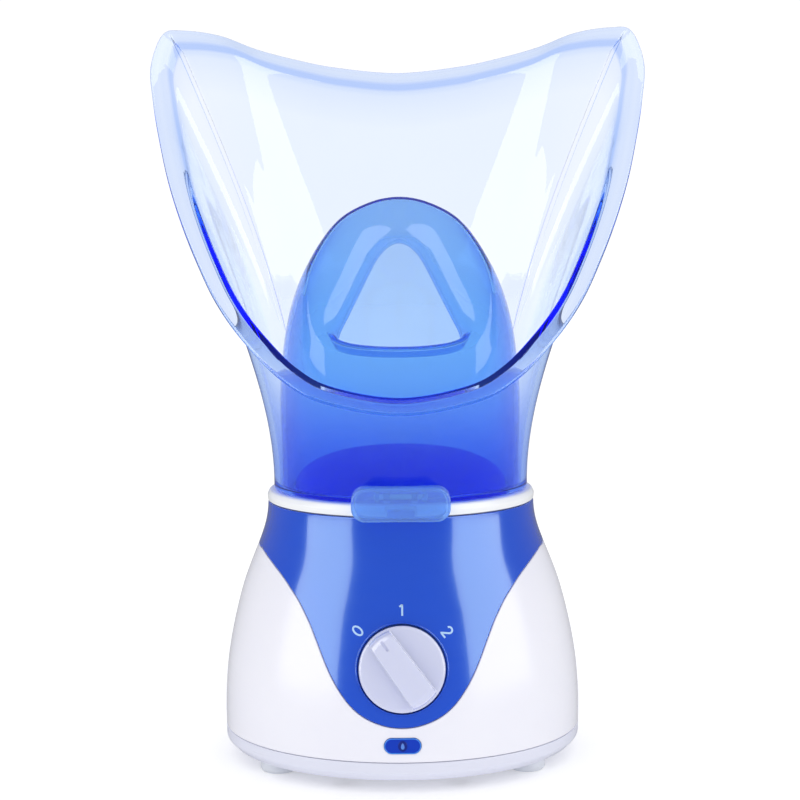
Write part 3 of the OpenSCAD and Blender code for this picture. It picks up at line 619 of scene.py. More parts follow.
def smooth_normals(o, fn, tol=0.03):
    """Sets the shading normals of points on the housing skin from the true surface."""
    me = o.data
    normals = []
    co = [np.array(v.co) / MM for v in me.vertices]
    on = []
    for c in co:
        r = math.hypot(c[0], c[1])
        on.append(abs(r - R(c[2])) < tol)
    vn = [None] * len(co)
    for poly in me.polygons:
        fnrm = np.array(poly.normal)
        for li in poly.loop_indices:
            vi = me.loops[li].vertex_index
            if on[vi]:
                if vn[vi] is None:
                    vn[vi] = surf_n(math.atan2(co[vi][0], -co[vi][1]), co[vi][2])
                if float(vn[vi] @ fnrm) > 0.93:
                    normals.append(tuple(vn[vi]))
                    continue
            normals.append((0.0, 0.0, 0.0))
    me.normals_split_custom_set(normals)


verts, faces = shell_skin(-1, 11.95, 0.35)
shell = obj("base_shell_skin", verts, faces, WHITE, "base")
verts, faces = prism(pill(7.0, 3.1, 18.3), -80, -60)
c1 = cutter("c1", verts, faces)
gl = [(5.4 * math.cos(2 * math.pi * k / 64), 24 + 5.4 * math.sin(2 * math.pi * k / 64)) for k in range(64)]
c2 = cutter("c2", *prism(gl, 60, 80))
boolean(shell, [c1, c2])
for p in shell.data.polygons:
    p.use_smooth = True
sharp(shell, 40)
smooth_normals(shell, None)
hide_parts("base_shell")

verts, faces = shell_skin(1, 99.9, 0.5)
cover = obj("blue_cover_skin", verts, faces, BLUE, "base")
ring = [(16.6 * math.cos(2 * math.pi * k / 160), 16.6 * math.sin(2 * math.pi * k / 160)) for k in range(160)]
c3 = cutter("c3", *prism(ring, -8, 12, xf=lambda p: k2w((p[0], p[2], p[1]))))
boolean(cover, [c3])
for p in cover.data.polygons:
    p.use_smooth = True
sharp(cover, 40)
smooth_normals(cover, None)
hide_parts("blue_cover")


def hit_surface(u, v):
    """Where the line along the knob's axis through local (u, v) meets the housing, as local height."""
    w = 0.0
    for _ in range(30):
        p = k2w((u, v, w))
        w -= (math.hypot(p[0], p[1]) - R(p[2])) * 0.9
    return w


# the recess behind the knob: a thin raised lip, the wall and the floor
rows = []
for k in range(160):
    a = 2 * math.pi * k / 160
    cu, su = math.cos(a), math.sin(a)
    h = hit_surface(16.6 * cu, 16.6 * su)
    h2 = hit_surface(17.25 * cu, 17.25 * su)
    col = [(17.3, h2 - 0.3), (17.25, h2 + 0.02)]
    for j in range(7):
        t = math.pi * j / 6
        col.append((16.9 + 0.32 * math.cos(t), (h + h2) / 2 + 0.06 + 0.26 * math.sin(t)))
    col += [(16.55, h - 0.4), (16.55, -3.1), (16.3, -3.4), (3.7, -3.4), (3.7, -4.9), (18.3, -4.9), (18.3, h2 - 1.2)]
    rows.append([k2w((r * cu, r * su, z)) for r, z in col])
verts, faces = loops_mesh(rows)
recess = obj("knob_recess", verts, faces, BLUE, "base", angle=50)

verts, faces = revolve(rounded([(0, 4.5), (66.6, 4.5), (69.55, 7.4), (69.6, 11.7), (67.2, 11.7), (67.2, 14), (65.3, 14),
                                (65.3, 7), (0, 7)], [0, 1.2, 2.4, 0.35, 0.2, 0.3, 0.3, 0.5, 0]), 240)
plate = obj("bottom_plate_skin", verts, faces, PLATE, "base", angle=45)
tools = []
for i in range(-4, 5):
    tools.append(cutter("v", *prism([(6 * i - 1.2, -13), (6 * i + 1.2, -13), (6 * i + 1.2, 13), (6 * i - 1.2, 13)], 3, 8,
                                    xf=lambda p: (p[0], p[2], p[1]))))
for x, y in ((22, -54), (-22, -54), (22, 54), (-22, 54)):
    circ = [(x + 3.3 * math.cos(2 * math.pi * k / 40), y + 3.3 * math.sin(2 * math.pi * k / 40)) for k in range(40)]
    tools.append(cutter("s", *prism(circ, 3, 8.0, xf=lambda p: (p[0], p[2], p[1]))))
boolean(plate, tools)
sharp(plate, 40)
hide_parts("bottom_plate")

for i, (x, y) in enumerate(((-47.5, -34), (47.5, -34), (-47.5, 34), (47.5, 34))):
    prof = rounded([(0, 0.0), (5.9, 0.0), (7, 1.4), (7, 4.6), (2, 4.6), (2, 7.1), (2.6, 7.3), (1.4, 8.6), (0, 8.6)],
                   [0, 0.5, 0.7, 0.15, 0.1, 0.1, 0.2, 0.5, 0])
    verts, faces = revolve(prof, 64)
    verts = [(a + x, b + y, c) for a, b, c in verts]
    o = obj("rubber_foot_%d" % i, verts, faces, FOOT, "base", angle=50)
    if i == 0:
        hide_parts("rubber_feet")

# ------------------------------------------------------------------ steam deck
verts, faces = revolve(rounded([(43.4, 98.6), (44.6, 104.5), (51.4, 104.5), (52.3, 102.6), (52.1, 100.35), (49.4, 100.3), (49.4, 94.3),
                                (47.4, 94.3), (47.4, 96.8), (33.2, 96.6), (33.2, 95), (31, 95), (31, 98.6)],
                               [0.6, 1.2, 1.3, 1.2, 0.5, 0.1, 0.3, 0.3, 0.5, 0.4, 0.3, 0.5, 0.4]), 288)
deck = obj("steam_deck_skin", verts, faces, RING, "base", angle=50)
boolean(deck, [cutter("n", *prism([(-6, 100.8), (6, 100.8), (6, 110), (-6, 110)], -60, -50.9))])
sharp(deck, 40)
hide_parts("steam_deck")


def ear(x0, x1, name, mat, body, outline, holes):
    """A plate between x0 and x1 with a rounded outline in (y, z) and soft edges."""
    v, f = prism(outline, x0, x1, xf=lambda p: (p[1], p[0], p[2]))
    o = obj(name, v, f, mat, body)
    if holes:
        cyl = [(holes[0] + holes[2] * math.cos(2 * math.pi * k / 48), holes[1] + holes[2] * math.sin(2 * math.pi * k / 48)) for k in range(48)]
        boolean(o, [cutter("h", *prism(cyl, x0 - 2, x1 + 2, xf=lambda p: (p[1], p[0], p[2])))])
    md = o.modifiers.new("bevel", "BEVEL")
    md.width = 0.0003
    md.segments = 3
    md.limit_method = "ANGLE"
    md.angle_limit = math.radians(35)
    apply_all(o)
    for p in o.data.polygons:
        p.use_smooth = True
    sharp(o, 45)
    return o


def arc(cy, cz, r, a0, a1, n=24):
    return [(cy + r * math.cos(math.radians(a0 + (a1 - a0) * k / n)), cz + r * math.sin(math.radians(a0 + (a1 - a0) * k / n)))
            for k in range(n + 1)]


HY, HZ = 56.5, 106.5
for s in (-1, 1):
    ear(8.9 * s - 1.5, 8.9 * s + 1.5, "hinge_ear_%s" % ("l" if s < 0 else "r"), RING, "base",
        [(50.2, 100.6), (52.6, 100.5)] + arc(HY, HZ, 3.4, -42, 128) + [(51.6, 104.3), (50.2, 104.3)],
        (HY, HZ, 1.25))
for i, (x, y) in enumerate(((0, 43), (36.4, -21), (-36.4, -21))):
    v, f = revolve(rounded([(1.1, 90), (3.6, 90), (3.6, 97), (1.1, 97)], 0.2), 40)
    obj("deck_post_%d" % i, [(a + x, b + y, c) for a, b, c in v], f, RING, "base", angle=50)
for s in (-1, 1):
    v, f = revolve(rounded([(1.25, 64.6), (3.5, 64.6), (3.5, 97), (1.25, 97)], 0.2), 40)
    obj("heater_post_%s" % ("l" if s < 0 else "r"), [(a + 37 * s, b + 8, c) for a, b, c in v], f, RING, "base", angle=50)

# ------------------------------------------------------------------ hood and collar, one moulding
RIM = np.array([(0, -57.5, 139.5), (28, -53.4, 143.8), (44.5, -45.7, 152), (59.4, -32.6, 165.8), (70, -20, 179),
                (78.3, -6.3, 193.7), (85.5, 8, 208.8), (91.6, 22.7, 224.3), (96.4, 37.8, 240.4), (100.5, 53.3, 257),
                (102.4, 63, 272), (97.5, 68, 285.5), (88.5, 70, 287.1), (74, 73.2, 285), (58.8, 77, 279.4),
                (42, 80, 275), (25.4, 82.5, 271.8), (0, 84, 269.5)], float)
FACE_MID = np.array([0, 12, 212.0])
NR = len(RIM) - 1
FLIP = np.array([-1, 1, 1.0])


def pick(v, i):
    n = len(v) - 1
    i = i % (2 * n)
    if i > n:
        return v[2 * n - i] * FLIP
    return v[i]


def curve(v, s):
    i = math.floor(s)
    f = s - i
    n = len(v) - 1
    q = [pick(v, (i + k) % (2 * n)) for k in (-1, 0, 1, 2)]
    return cr(*q, f)


def rim_frame(s):
    p = curve(RIM, s)
    t = unit(curve(RIM, s + 0.02) - curve(RIM, s - 0.02))
    q = FACE_MID - p
    i = unit(q - (q @ t) * t)
    n = np.cross(t, i)
    n = n if n[1] < 0 else -n
    return p, i, n


def wall_pt(w, u, off):
    r = math.hypot(w[0], w[1])
    h = w[2] - 107.0
    m = 1.5 * (r - 49.6) / h
    b = [np.array(v, float) for v in ((49.6, 107), (49.6, 107 + 0.33 * h), (r - 0.33 * h * m, w[2] - 0.33 * h), (r, w[2]))]
    q = bez(b, u)
    d = 3 * (1 - u) ** 2 * (b[1] - b[0]) + 6 * u * (1 - u) * (b[2] - b[1]) + 3 * u * u * (b[3] - b[2])
    d = unit(d)
    q = q + off * np.array([-d[1], d[0]])
    a = math.atan2(w[0], -w[1])
    return np.array([q[0] * math.sin(a), -q[0] * math.cos(a), q[1]]), a


def quad(a, b, c, n):
    return [(1 - t) ** 2 * a + 2 * t * (1 - t) * b + t * t * c for t in (k / n for k in range(n + 1))]


FW, FT, HT = 6.2, 2.0, 2.2
rings = []
SUB = 12
for k in range(2 * NR * SUB):
    s = k / SUB
    p, i, n = rim_frame(s)
    w = p + FW * i
    a = wall_pt(w, 0, 0)[1]

    def rv(r, z):
        return np.array([r * math.sin(a), -r * math.cos(a), z])
    col = [rv(42.5, 104.9), rv(48.9, 104.9), rv(49.35, 105.05), rv(49.6, 105.5)]
    NW = 56
    for j in range(NW + 1):
        col.append(wall_pt(w, 0.955 * j / NW, 0)[0])
    back = p + (FW - 1.3) * i - FT * n
    col += quad(col[-1], w - 0.9 * FT * n - 0.1 * i, back, 6)[1:]
    col.append(p + 3.0 * i - FT * n)
    c = p + 1.0 * i - 1.0 * n
    for j in range(13):
        t = math.pi * j / 12
        col.append(c - math.cos(t) * n - math.sin(t) * i)
    col.append(p + 3.6 * i)
    inner = [wall_pt(w, 0.965 * j / NW, HT)[0] for j in range(NW, -1, -1)]
    front = p + (FW + HT - 1.5) * i
    col += quad(front, w + HT * i, inner[0], 6)[:-1]
    col += inner
    col += [rv(47.1, 106.4), rv(46.6, 106.4), rv(42.5, 106.4)]
    rings.append(col)
verts, faces = loops_mesh(rings)
# painted shade across the hood's section: weights for the deeper colour at the rim's outer edge, the flange and the
# inner corner, fading into the wall
BODY_EDGE_SHADE = ([0.0] * 4 + [0.0] * (NW - 4) + [0.08, 0.14, 0.2, 0.26, 0.32] + [0.45] * 6 + [0.30] + [0.30] * 13 + [0.14]
        + [0.15, 0.35, 0.75, 1.0, 1.0, 1.0] + [0.85, 0.42, 0.15] + [0.0] * (NW - 2) + [0.0] * 3)
assert len(BODY_EDGE_SHADE) == len(rings[0])
edge_shade_weights = []
for k in range(len(rings)):
    # the painted rim shade is weakened near the top of the rim and along its low front
    top = min(1.0, max(0.0, (curve(RIM, k / SUB)[2] - 245) / 18))
    t = list(BODY_EDGE_SHADE)
    j0 = len(t) - 3 - (NW + 1)
    for j in range(j0 - 4, j0 + 3):
        t[j] *= 1 - top * (0.1 if j < j0 else 0.9)
    foot = min(1.0, max(0.0, (180 - curve(RIM, k / SUB)[2]) / 25))
    for j in range(j0 - 24, j0 + 3):
        t[j] *= 1 - 0.6 * foot
    edge_shade_weights += t
hood = obj("face_hood_shell", verts, faces, HOOD, "hood", ["face_hood", "hood_collar"], angle=48)

ta = hood.data.attributes.new("edge_shade_weight", "FLOAT", "POINT")
ta.data.foreach_set("value", np.array(edge_shade_weights, dtype=np.float32))

ear(-7, 7, "hinge_knuckle", HOOD, "hood",
    [(50.0, 105.2)] + arc(HY, HZ, 3.4, -90, 100) + [(50.6, 107.6), (50.0, 107.0)], (HY, HZ, 1.3))
LY, LZ = -55.6, 108.6
for s in (-1, 1):
    ear(5.25 * s - 1.25, 5.25 * s + 1.25, "latch_lug_%s" % ("l" if s < 0 else "r"), HOOD, "hood",
        arc(LY, LZ, 1.8, 90, 228) + [(-50.1, 105.2), (-49.9, 109.0)], (LY, LZ, 1.05))

# ------------------------------------------------------------------ nose cone
CREST = np.array([(0, 10.3, 218.5), (11.5, 8.3, 216.5), (23, 3, 210.3), (31.2, -7, 199.3), (35, -16.5, 188.6),
                  (35.5, -25, 179.5), (33.8, -33, 170.3), (29.5, -38.5, 164.2), (21.3, -41.5, 161),
                  (10.5, -42.8, 159.6), (0, -43, 159.4)], float)
HOLE = np.array([(x, -31 + 0.9 * (z - 159.7), z) for x, z in
                 [(0, 200), (4.2, 198.4), (8, 194.5), (11.4, 188.5), (15.2, 181), (19.3, 173), (22.6, 166.3),
                  (22.4, 163), (17.5, 161), (9, 160), (0, 159.7)]], float)
NC = 10
OUT_N = unit([0, -0.74, 0.67])


def cone_col(s):
    c = curve(CREST, s)
    h = curve(HOLE, s)
    sa = s if s <= NC else 2 * NC - s
    ang = math.radians(180 - 18 * s)
    b = np.array([46.3 * math.sin(ang), -46.3 * math.cos(ang), 107.0])
    wl = 0.85 * (1 - sa / NC) ** 1.2 + 0.05
    hh = math.hypot(c[0], c[1] + 18)
    cl = unit([-wl * c[0] / hh, -wl * (c[1] + 18) / hh, 1 - 0.35 * wl])
    L = np.linalg.norm(c - b)
    o = [b, b + np.array([0, 0, 0.35 * L]), c - 0.36 * L * cl, c]
    d = h - c
    L2 = np.linalg.norm(d)
    q = unit(d - (d @ OUT_N) * OUT_N)
    i = [c, c + 0.35 * L2 * q + 0.18 * L2 * cl, h + 0.42 * L2 * OUT_N - 0.05 * L2 * q, h]
    out = [bez(o, k / 64) for k in range(65)]
    inn = [bez(i, k / 26) for k in range(1, 27)]
    return out + inn


SC = 16
grid = np.array([cone_col(k / SC) for k in range(2 * NC * SC)])
# soften the crest a little along each line, keeping both ends
for _ in range(3):
    g = grid.copy()
    lo, hi = 58, 74
    g[:, lo:hi] = 0.25 * grid[:, lo - 1:hi - 1] + 0.5 * grid[:, lo:hi] + 0.25 * grid[:, lo + 1:hi + 1]
    grid = g
du = np.roll(grid, -1, 0) - np.roll(grid, 1, 0)
dv = np.empty_like(grid)
dv[:, 1:-1] = grid[:, 2:] - grid[:, :-2]
dv[:, 0] = grid[:, 1] - grid[:, 0]
dv[:, -1] = grid[:, -1] - grid[:, -2]
nn = np.cross(du, dv)
nn /= np.linalg.norm(nn, axis=2, keepdims=True)
if nn[0, 5] @ np.array([0, 1.0, 0]) > 0:
    nn = -nn
CT = 1.8
inner = grid + CT * nn
inner[:, 0, 2] = 107.0
rings = []
for k in range(len(grid)):
    g, q = grid[k], inner[k]
    mid = (g[-1] + q[-1]) / 2
    e = unit(g[-1] - g[-2])
    lip = []
    for j in range(1, 8):
        t = math.pi * j / 8
        lip.append(mid + (g[-1] - mid) * math.cos(t) + e * 0.9 * math.sin(t))
    rings.append(list(g) + lip + list(q[::-1]))
verts, faces = loops_mesh(rings)
cone = obj("nose_cone_shell", verts, faces, CONE, "nose_cone", "nose_cone", angle=60)

# ------------------------------------------------------------------ splash guard
GO = [(41.2 * max(0.0, 1 - ((z - 106) / 14.4) ** 2.2) ** 0.42, z)
      for z in (106 + 14.4 * math.sin(math.pi / 2 * k / 40) for k in range(41))]
GO[-1] = (0.0, 120.4)
GI = [(max(0.0, r - 1.5 * (r / 41.2) ** 3), z - 1.5 * (1 - (r / 41.2) ** 3)) for r, z in GO]
GI[-1] = (0.0, 118.9)
prof = [(38.9, 99.1), (39.1, 98.9), (40.9, 98.9), (41.2, 99.2), (41.2, 102.5)] + GO + GI[::-1] + [(39.7, 101), (38.9, 101)]
verts, faces = revolve(prof, 288)
guard = obj("splash_guard_shell", verts, faces, GUARD, "splash_guard", angle=50)
tools = []
for a in (-56, -28, 0, 28, 56):
    a = math.radians(90 + a)
    ca, sa = math.cos(a), math.sin(a)
    outl = [(21.6 + 1.6 * math.cos(t), 1.6 * math.sin(t)) for t in np.linspace(math.pi / 2, 1.5 * math.pi, 12)]
    outl += [(33.4 + 1.6 * math.cos(t), 1.6 * math.sin(t)) for t in np.linspace(-math.pi / 2, math.pi / 2, 12)]
    outl = [(x * ca - y * sa, x * sa + y * ca) for x, y in outl]
    tools.append(cutter("s", *prism(outl, 105, 126, xf=lambda p: (p[0], p[2], p[1]))))
for i in range(4):
    a = math.radians(45 + 90 * i)
    ca, sa = math.cos(a), math.sin(a)
    outl = [(30, -4), (44, -4), (44, 4), (30, 4)]
    outl = [(x * ca - y * sa, x * sa + y * ca) for x, y in outl]
    tools.append(cutter("s", *prism(outl, 98, 101, xf=lambda p: (p[0], p[2], p[1]))))
boolean(guard, tools)
sharp(guard, 40)
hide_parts("splash_guard")


# ------------------------------------------------------------------ latch tab
def rrect(a, b, r, zc, n=12):
    pts = []
    for sx, sz, t0 in ((1, -1, -90), (1, 1, 0), (-1, 1, 90), (-1, -1, 180)):
        for k in range(n + 1):
            t = math.radians(t0 + 90 * k / n)
            pts.append((sx * (a - r) + r * math.cos(t), zc + sz * (b - r) + r * math.sin(t)))
    return pts


def dens(pts, step=0.7):
    """Adds points along the long straight sides."""
    out = []
    n = len(pts)
    for i in range(n):
        a, b = np.array(pts[i]), np.array(pts[(i + 1) % n])
        m = max(1, int(round(np.linalg.norm(b - a) / step)))
        out += [tuple(a + (b - a) * k / m) for k in range(m)]
    return out


ZC = 105.8
base_outline = rrect(18.4, 6.4, 5.2, 0)
DN = dens(base_outline, 1.5)


def tab_ring(inset, yfn):
    pts = []
    for x, z in DN:
        # inset of a rounded rectangle: move each point towards the straight skeleton
        cx = math.copysign(max(0, abs(x) - 13.2), x)
        cz = math.copysign(max(0, abs(z) - 1.2), z)
        if abs(x) >= 13.2 and abs(z) >= 1.2:
            d = np.array([cx, cz])
        elif abs(x) >= 13.2:
            d = np.array([cx, 0.0])
        else:
            d = np.array([0.0, cz])
        d = d / np.linalg.norm(d)
        q = np.array([x, z]) - inset * d
        pts.append((q[0], yfn(q[0]), ZC + q[1]))
    return pts


back = lambda x: -math.sqrt(53.1 ** 2 - x * x)
rings = [tab_ring(4.6, lambda x: -57.7), tab_ring(2.2, lambda x: -57.7), tab_ring(1.55, lambda x: -57.62),
         tab_ring(1.3, lambda x: -57.35)]
for k in range(1, 7):
    rings.append(tab_ring(1.3, lambda x, k=k: -57.35 + (back(x) + 57.35) * k / 6))
rings.append(tab_ring(0.2, back))
rings.append(tab_ring(0.0, lambda x: back(x) - 0.3))
for k in range(1, 7):
    rings.append(tab_ring(0.0, lambda x, k=k: (back(x) - 0.3) + (-58.0 - back(x) + 0.3) * k / 6))
for k in range(1, 9):
    t = math.pi / 2 * k / 8
    rings.append(tab_ring(1.0 * (1 - math.cos(t)), lambda x, t=t: -58.0 - 0.95 * math.sin(t)))
rings.append(tab_ring(2.4, lambda x: -59.0))
rings.append(tab_ring(4.6, lambda x: -59.0))
verts, faces = loops_mesh(rings, closed_cols=False)
n = len(DN)
faces.append(tuple(range(n)))
faces.append(tuple(range((len(rings) - 1) * n, len(rings) * n)))
tab = obj("latch_tab_shell", verts, faces, TAB, "latch", "latch_tab", angle=40)
for s in (-1, 1):
    ear(8.75 * s - 0.75, 8.75 * s + 0.75, "latch_rib_%s" % ("l" if s < 0 else "r"), TAB, "latch",
        [(-57.6, 106.9)] + arc(LY, LZ, 2.2, -40, 90) + [(-57.6, 111.2)], (LY, LZ, 1.05))
vv, ff = prism([(-57.6, 101.1), (-51.9, 101.1), (-51.9, 103.4), (-57.6, 103.4)], -5, 5, xf=lambda p: (p[1], p[0], p[2]))
obj("latch_bump", vv, ff, TAB, "latch", smooth=False)

# ------------------------------------------------------------------ knob
REST = math.radians(36)


def kn(p):
    x, y, z = p
    return k2w((x * math.cos(REST) - y * math.sin(REST), x * math.sin(REST) + y * math.cos(REST), z))


v, f = revolve(rounded([(0, 1.4), (13.4, 1.4), (13.6, -2.6), (15.9, -2.6), (15.9, 3.0), (0, 3.0)],
                       [0, 0.5, 0.4, 0.5, 1.1, 0]), 256)
disc = cutter("knob_disc", [kn(p) for p in v], f)
v, f = prism([(-4.4, 17), (4.4, 17), (5.3, -17), (-5.3, -17)], 2.0, 10.0, xf=lambda p: (p[0], p[2], p[1]))
bar = cutter("knob_bar", [kn(p) for p in v], f)
v, f = revolve([(0, 0), (15.2, 0), (15.2, 3), (14.6, 7), (13.6, 9), (12, 10.05), (0, 10.05)], 192)
lim = cutter("knob_lim", [kn(p) for p in v], f)
boolean(bar, [lim], "INTERSECT")
v, f = revolve([(0, -0.4), (4.6, -0.4), (4.6, 2.6), (0, 2.6)], 96)
hub = cutter("knob_hub", [kn(p) for p in v], f)
boolean(disc, [bar, hub], "UNION")
bore = []
for k in range(64):
    t = 2 * math.pi * k / 64
    bore.append((2.0 * math.cos(t), min(1.2, 2.0 * math.sin(t))))
c = cutter("bore", *prism(bore, -1, 6.9, xf=lambda p: kn((p[0], p[2], p[1]))))
slot = [(-0.5, 8.9), (-0.3, 8.6), (0.3, 8.6), (0.5, 8.9), (0.5, 12.8), (0.3, 13.1), (-0.3, 13.1), (-0.5, 12.8)]
c2 = cutter("slot", *prism(slot, 9.4, 11, xf=lambda p: kn((p[0], p[2], p[1]))))
boolean(disc, [c])
md = disc.modifiers.new("r", "REMESH")
md.mode = "VOXEL"
md.voxel_size = 0.00022
md.use_smooth_shade = True
md2 = disc.modifiers.new("s", "SMOOTH")
md2.factor = 0.5
md2.iterations = 9
apply_all(disc)
boolean(disc, [c2])
me = disc.data
me.materials.clear()
me.materials.append(KNOB)
for p in me.polygons:
    p.use_smooth = True
disc.name = "knob_shell"
sharp(disc, 60)
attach(disc, "knob")
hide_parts("knob")


# ------------------------------------------------------------------ printed numbers round the knob
def ribbon(name, paths, ang, size=4.7, width=0.70, rad=21.5, th=0.07):
    verts, faces = [], []
    ca, sa = math.cos(ang), math.sin(ang)
    for path, closed in paths:
        p = [np.array(q, float) * size for q in path]
        m = len(p)
        start = len(verts)
        cnt = 0
        for i in range(m):
            a = p[i - 1] if (i > 0 or closed) else p[i]
            b = p[(i + 1) % m] if (i < m - 1 or closed) else p[i]
            d = unit(b - a)
            nrm = np.array([-d[1], d[0]]) * width / 2
            for off, hh in ((nrm, -th), (nrm, th * 0.7), (nrm * 0.8, th), (-nrm * 0.8, th), (-nrm, th * 0.7), (-nrm, -th)):
                q = p[i] + off
                x = rad * sa + q[0] * ca + q[1] * sa
                y = rad * ca - q[0] * sa + q[1] * ca
                verts.append(k2w((x, y, hit_surface(x, y) + hh)))
            cnt += 1
        for i in range(cnt if closed else cnt - 1):
            a, b = start + 6 * i, start + 6 * ((i + 1) % cnt)
            for k in range(6):
                faces.append((a + k, a + (k + 1) % 6, b + (k + 1) % 6, b + k))
        if not closed:
            faces.append(tuple(range(start, start + 6)))
            faces.append(tuple(range(start + 6 * cnt - 6, start + 6 * cnt)))
    return obj(name, verts, faces, PRINT, "base", angle=60)


def seg(*pts, n=8):
    out = []
    for a, b in zip(pts, pts[1:]):
        out += [(a[0] + (b[0] - a[0]) * k / n, a[1] + (b[1] - a[1]) * k / n) for k in range(n)]
    return out + [pts[-1]]


zero = [(0.255 * math.cos(t), 0.43 * math.sin(t)) for t in np.linspace(0, 2 * math.pi, 40, endpoint=False)]
one = seg((-0.17, 0.27), (0.04, 0.43), (0.04, -0.43))
two = [(0.25 * math.cos(t), 0.19 + 0.24 * math.sin(t)) for t in np.linspace(math.radians(165), math.radians(-35), 18)]
two += seg(two[-1], (-0.26, -0.43), (0.27, -0.43))[1:]
ribbon("number_zero", [(zero, True)], math.radians(-49))
ribbon("number_one", [(one, False)], 0.0)
ribbon("number_two", [(two, False)], math.radians(51))


# ------------------------------------------------------------------ indicator lens
def lens_ring(a, b, h, n=24):
    pts = []
    for x, z in pill(a, b, 18.3, n):
        y = -math.sqrt(R(z) ** 2 - x * x)
        pts.append((x, y - h, z))
    return pts


LR = [lens_ring(6.8, 2.9, -2.2), lens_ring(6.8, 2.9, -0.02)]
for k in range(1, 8):
    t = math.pi / 2 * k / 7
    LR.append(lens_ring(6.8 - 0.5 * (1 - math.cos(t)), 2.9 - 0.5 * (1 - math.cos(t)), 0.35 * math.sin(t)))
for d in (1.0, 1.5, 2.0, 2.5, 2.85):
    LR.append(lens_ring(6.8 - d, 2.9 - d, 0.35 + 0.05 * (d - 0.5) / 2.4))
verts, faces = loops_mesh(LR, closed_cols=False)
n = len(LR[0])
faces.append(tuple(range(n)))
faces.append(tuple(range((len(LR) - 1) * n, len(LR) * n)))
lens = obj("indicator_lens_shell", verts, faces, LENS, "base", "indicator_lens", angle=50)


# thin patch laid on the lens face, used below for the painted view through the lens
def painted_patch(name, outline_fn, h0, h1, mat):
    rr = []
    for sc, h in ((1.0, h0), (1.0, h1 - 0.06), (0.96, h1 - 0.02), (0.88, h1), (0.5, h1 + 0.01), (0.1, h1 + 0.01)):
        ring = []
        for k in range(56):
            x, z = outline_fn(2 * math.pi * k / 56)
            x, z = x * sc, 18.3 + z * sc
            ring.append((x, -math.sqrt(R(z) ** 2 - x * x) - h, z))
        rr.append(ring)
    v, f = loops_mesh(rr, closed_cols=False)
    f.append(tuple(range(56)))
    f.append(tuple(range(5 * 56, 6 * 56)))
    return obj(name, v, f, mat, "base", angle=50)


# painted highlight: a lighter bead round the lens edge stands in for its rim catching the light
rim_rows = []
for j in range(10):
    t = 2 * math.pi * j / 10
    rim_rows.append(lens_ring(6.62 + 0.2 * math.cos(t), 2.72 + 0.2 * math.cos(t), 0.32 + 0.16 * math.sin(t)))
v, f = loops_mesh(rim_rows)
obj("lens_sheen_bead", v, f, LENS_RIM_SHEEN, "base")
# painted view through the lens: a dark oval of painted shade for the hollow behind it, and a lighter drop, a painted
# highlight on the neon bulb
painted_patch("lens_shade_oval", lambda t: (1.65 * math.cos(t), 1.95 * math.sin(t)), 0.2, 0.52, LENS_SHADE_PAINT)
painted_patch("lens_glint_drop", lambda t: (0.62 * math.cos(t) * (1 - 0.35 * math.sin(t)), 1.15 * math.sin(t)), 0.4, 0.62, LENS_GLINT_PAINT)

# ------------------------------------------------------------------ cord gland
prof = rounded([(3.3, 64.4), (7.3, 64.4), (7.3, 66.6), (5.4, 66.9), (5.4, 70.0), (7.2, 70.4), (7.2, 72), (5.2, 74.2), (3.3, 74.2)],
               [0.2, 0.3, 0.5, 0.3, 0.3, 0.5, 0.6, 0.6, 0.5])
v, f = revolve(prof, 128)
gland = obj("cord_gland_shell", [(x, z, 24 + y) for x, y, z in v], f, BLACK, "base", "cord_gland", angle=50)

# ------------------------------------------------------------------ finishes of the carried-over CAD nodes
FIN = {"bottom_screws": STEEL, "cover_screws": STEEL, "deck_screws": STEEL, "heater_screws": STEEL,
       "water_cup": ALU, "cup_seal": SEAL, "heater_plate": ALU, "heating_element": ELEMENT, "heater_bracket": STEEL,
       "thermostat": PHENOL, "thermal_fuse": STEEL, "rotary_switch": PHENOL, "switch_nut": STEEL, "neon_lamp": LAMP,
       "lamp_holder": IVORY, "lamp_resistor": RESIST, "terminal_block": IVORY, "wire_switch_feed": W_BROWN,
       "wire_heater_live": W_RED, "wire_heater_neutral": W_BLUE, "lamp_leads": W_WHITE, "hinge_pin": STEEL,
       "latch_pin": STEEL, "switch_shaft": IVORY, "knob_clip": STEEL}
for name, o in frame["nodes"].items():
    if name in FIN:
        if o.material_slots:
            for ms in o.material_slots:
                ms.material = FIN[name]
        else:
            o.data.materials.append(FIN[name])

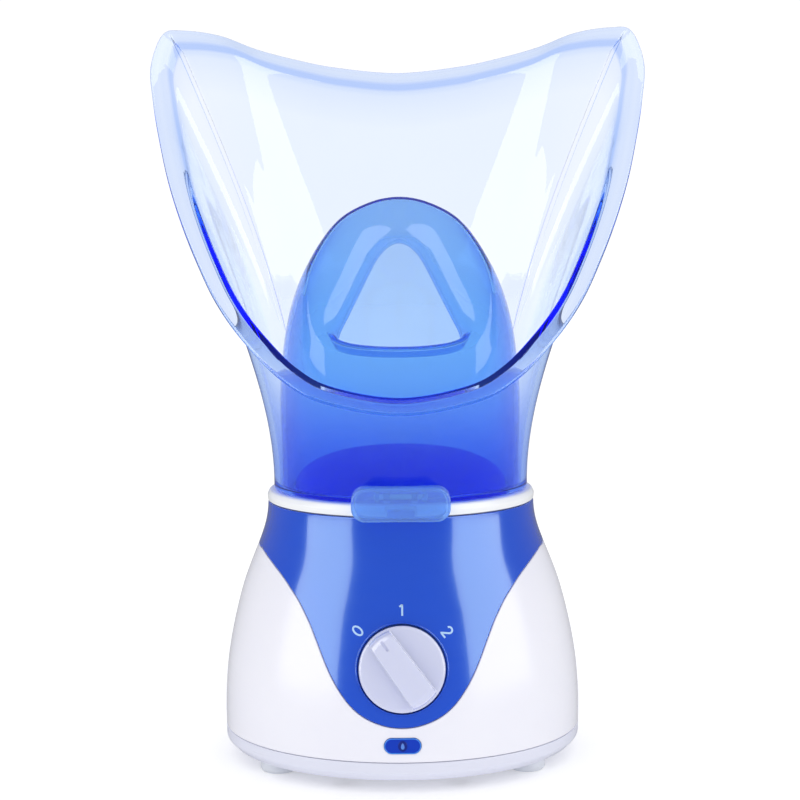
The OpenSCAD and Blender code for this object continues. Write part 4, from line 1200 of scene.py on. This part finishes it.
# ------------------------------------------------------------------ floor, light
me = bpy.data.meshes.new("floor")
me.from_pydata([(-3, -2.4, 0), (3, -2.4, 0), (3, 3, 0), (-3, 3, 0)], [], [(0, 1, 2, 3)])
floor = bpy.data.objects.new("floor", me)
scene.collection.objects.link(floor)
fm, nt, b = new_mat("floor_white")
vv = coords(nt)
nt.links.new(mix_col(nt, ramp(nt, noise(nt, vv, 3, 3), 0, 1), (0.93, 0.93, 0.93), (0.96, 0.96, 0.96)), b.inputs["Base Color"])
nt.links.new(ramp(nt, noise(nt, vv, 40, 3), 0.85, 0.95), b.inputs["Roughness"])
b.inputs["Specular IOR Level"].default_value = 0.1
b.inputs["Emission Color"].default_value = (1, 1, 1, 1)
b.inputs["Emission Strength"].default_value = 0.22
me.materials.append(fm)
floor.visible_glossy = False

world = bpy.data.worlds.new("world")
scene.world = world
world.use_nodes = True
nt = world.node_tree
bg = nt.nodes["Background"]
lp = nt.nodes.new("ShaderNodeLightPath")
bg.inputs["Color"].default_value = (1, 1, 1, 1)


def choose(flag, other, value):
    m = nt.nodes.new("ShaderNodeMix")
    m.data_type = "FLOAT"
    nt.links.new(lp.outputs[flag], m.inputs[0])
    if isinstance(other, float):
        m.inputs[2].default_value = other
    else:
        nt.links.new(other, m.inputs[2])
    m.inputs[3].default_value = value
    return m.outputs[0]


level = choose("Is Glossy Ray", 1.05, 0.22)
level = choose("Is Transmission Ray", level, 1.05)
level = choose("Is Diffuse Ray", level, 0.93)
nt.links.new(level, bg.inputs["Strength"])


def softbox(name, az, dist, z, w, h, radiance, target=(0, 0, 0.15)):
    """A flat area light at azimuth az from the front, positive to the right."""
    ld = bpy.data.lights.new(name, "AREA")
    ld.shape = "RECTANGLE"
    ld.size = w
    ld.size_y = h
    ld.energy = radiance * math.pi * w * h
    o = bpy.data.objects.new(name, ld)
    scene.collection.objects.link(o)
    a = math.radians(az)
    o.location = (dist * math.sin(a), -dist * math.cos(a), z)
    d = Vector(target) - Vector(o.location)
    o.rotation_euler = d.to_track_quat("-Z", "Y").to_euler()
    o.visible_camera = False
    o.visible_transmission = False
    return o


for side in (-1, 1):
    o = softbox("left_box" if side < 0 else "right_box", side * (63 if side < 0 else 67), 1.25, 1.17, 1.0 if side < 0 else 1.1, 2.38, 3.15, target=(0, 0, 1.17))
    o.visible_diffuse = False

scene.view_settings.view_transform = "Standard"
scene.view_settings.look = "None"
scene.cycles.transmission_bounces = 28
scene.cycles.glossy_bounces = 28
scene.cycles.max_bounces = 32
scene.cycles.transparent_max_bounces = 16
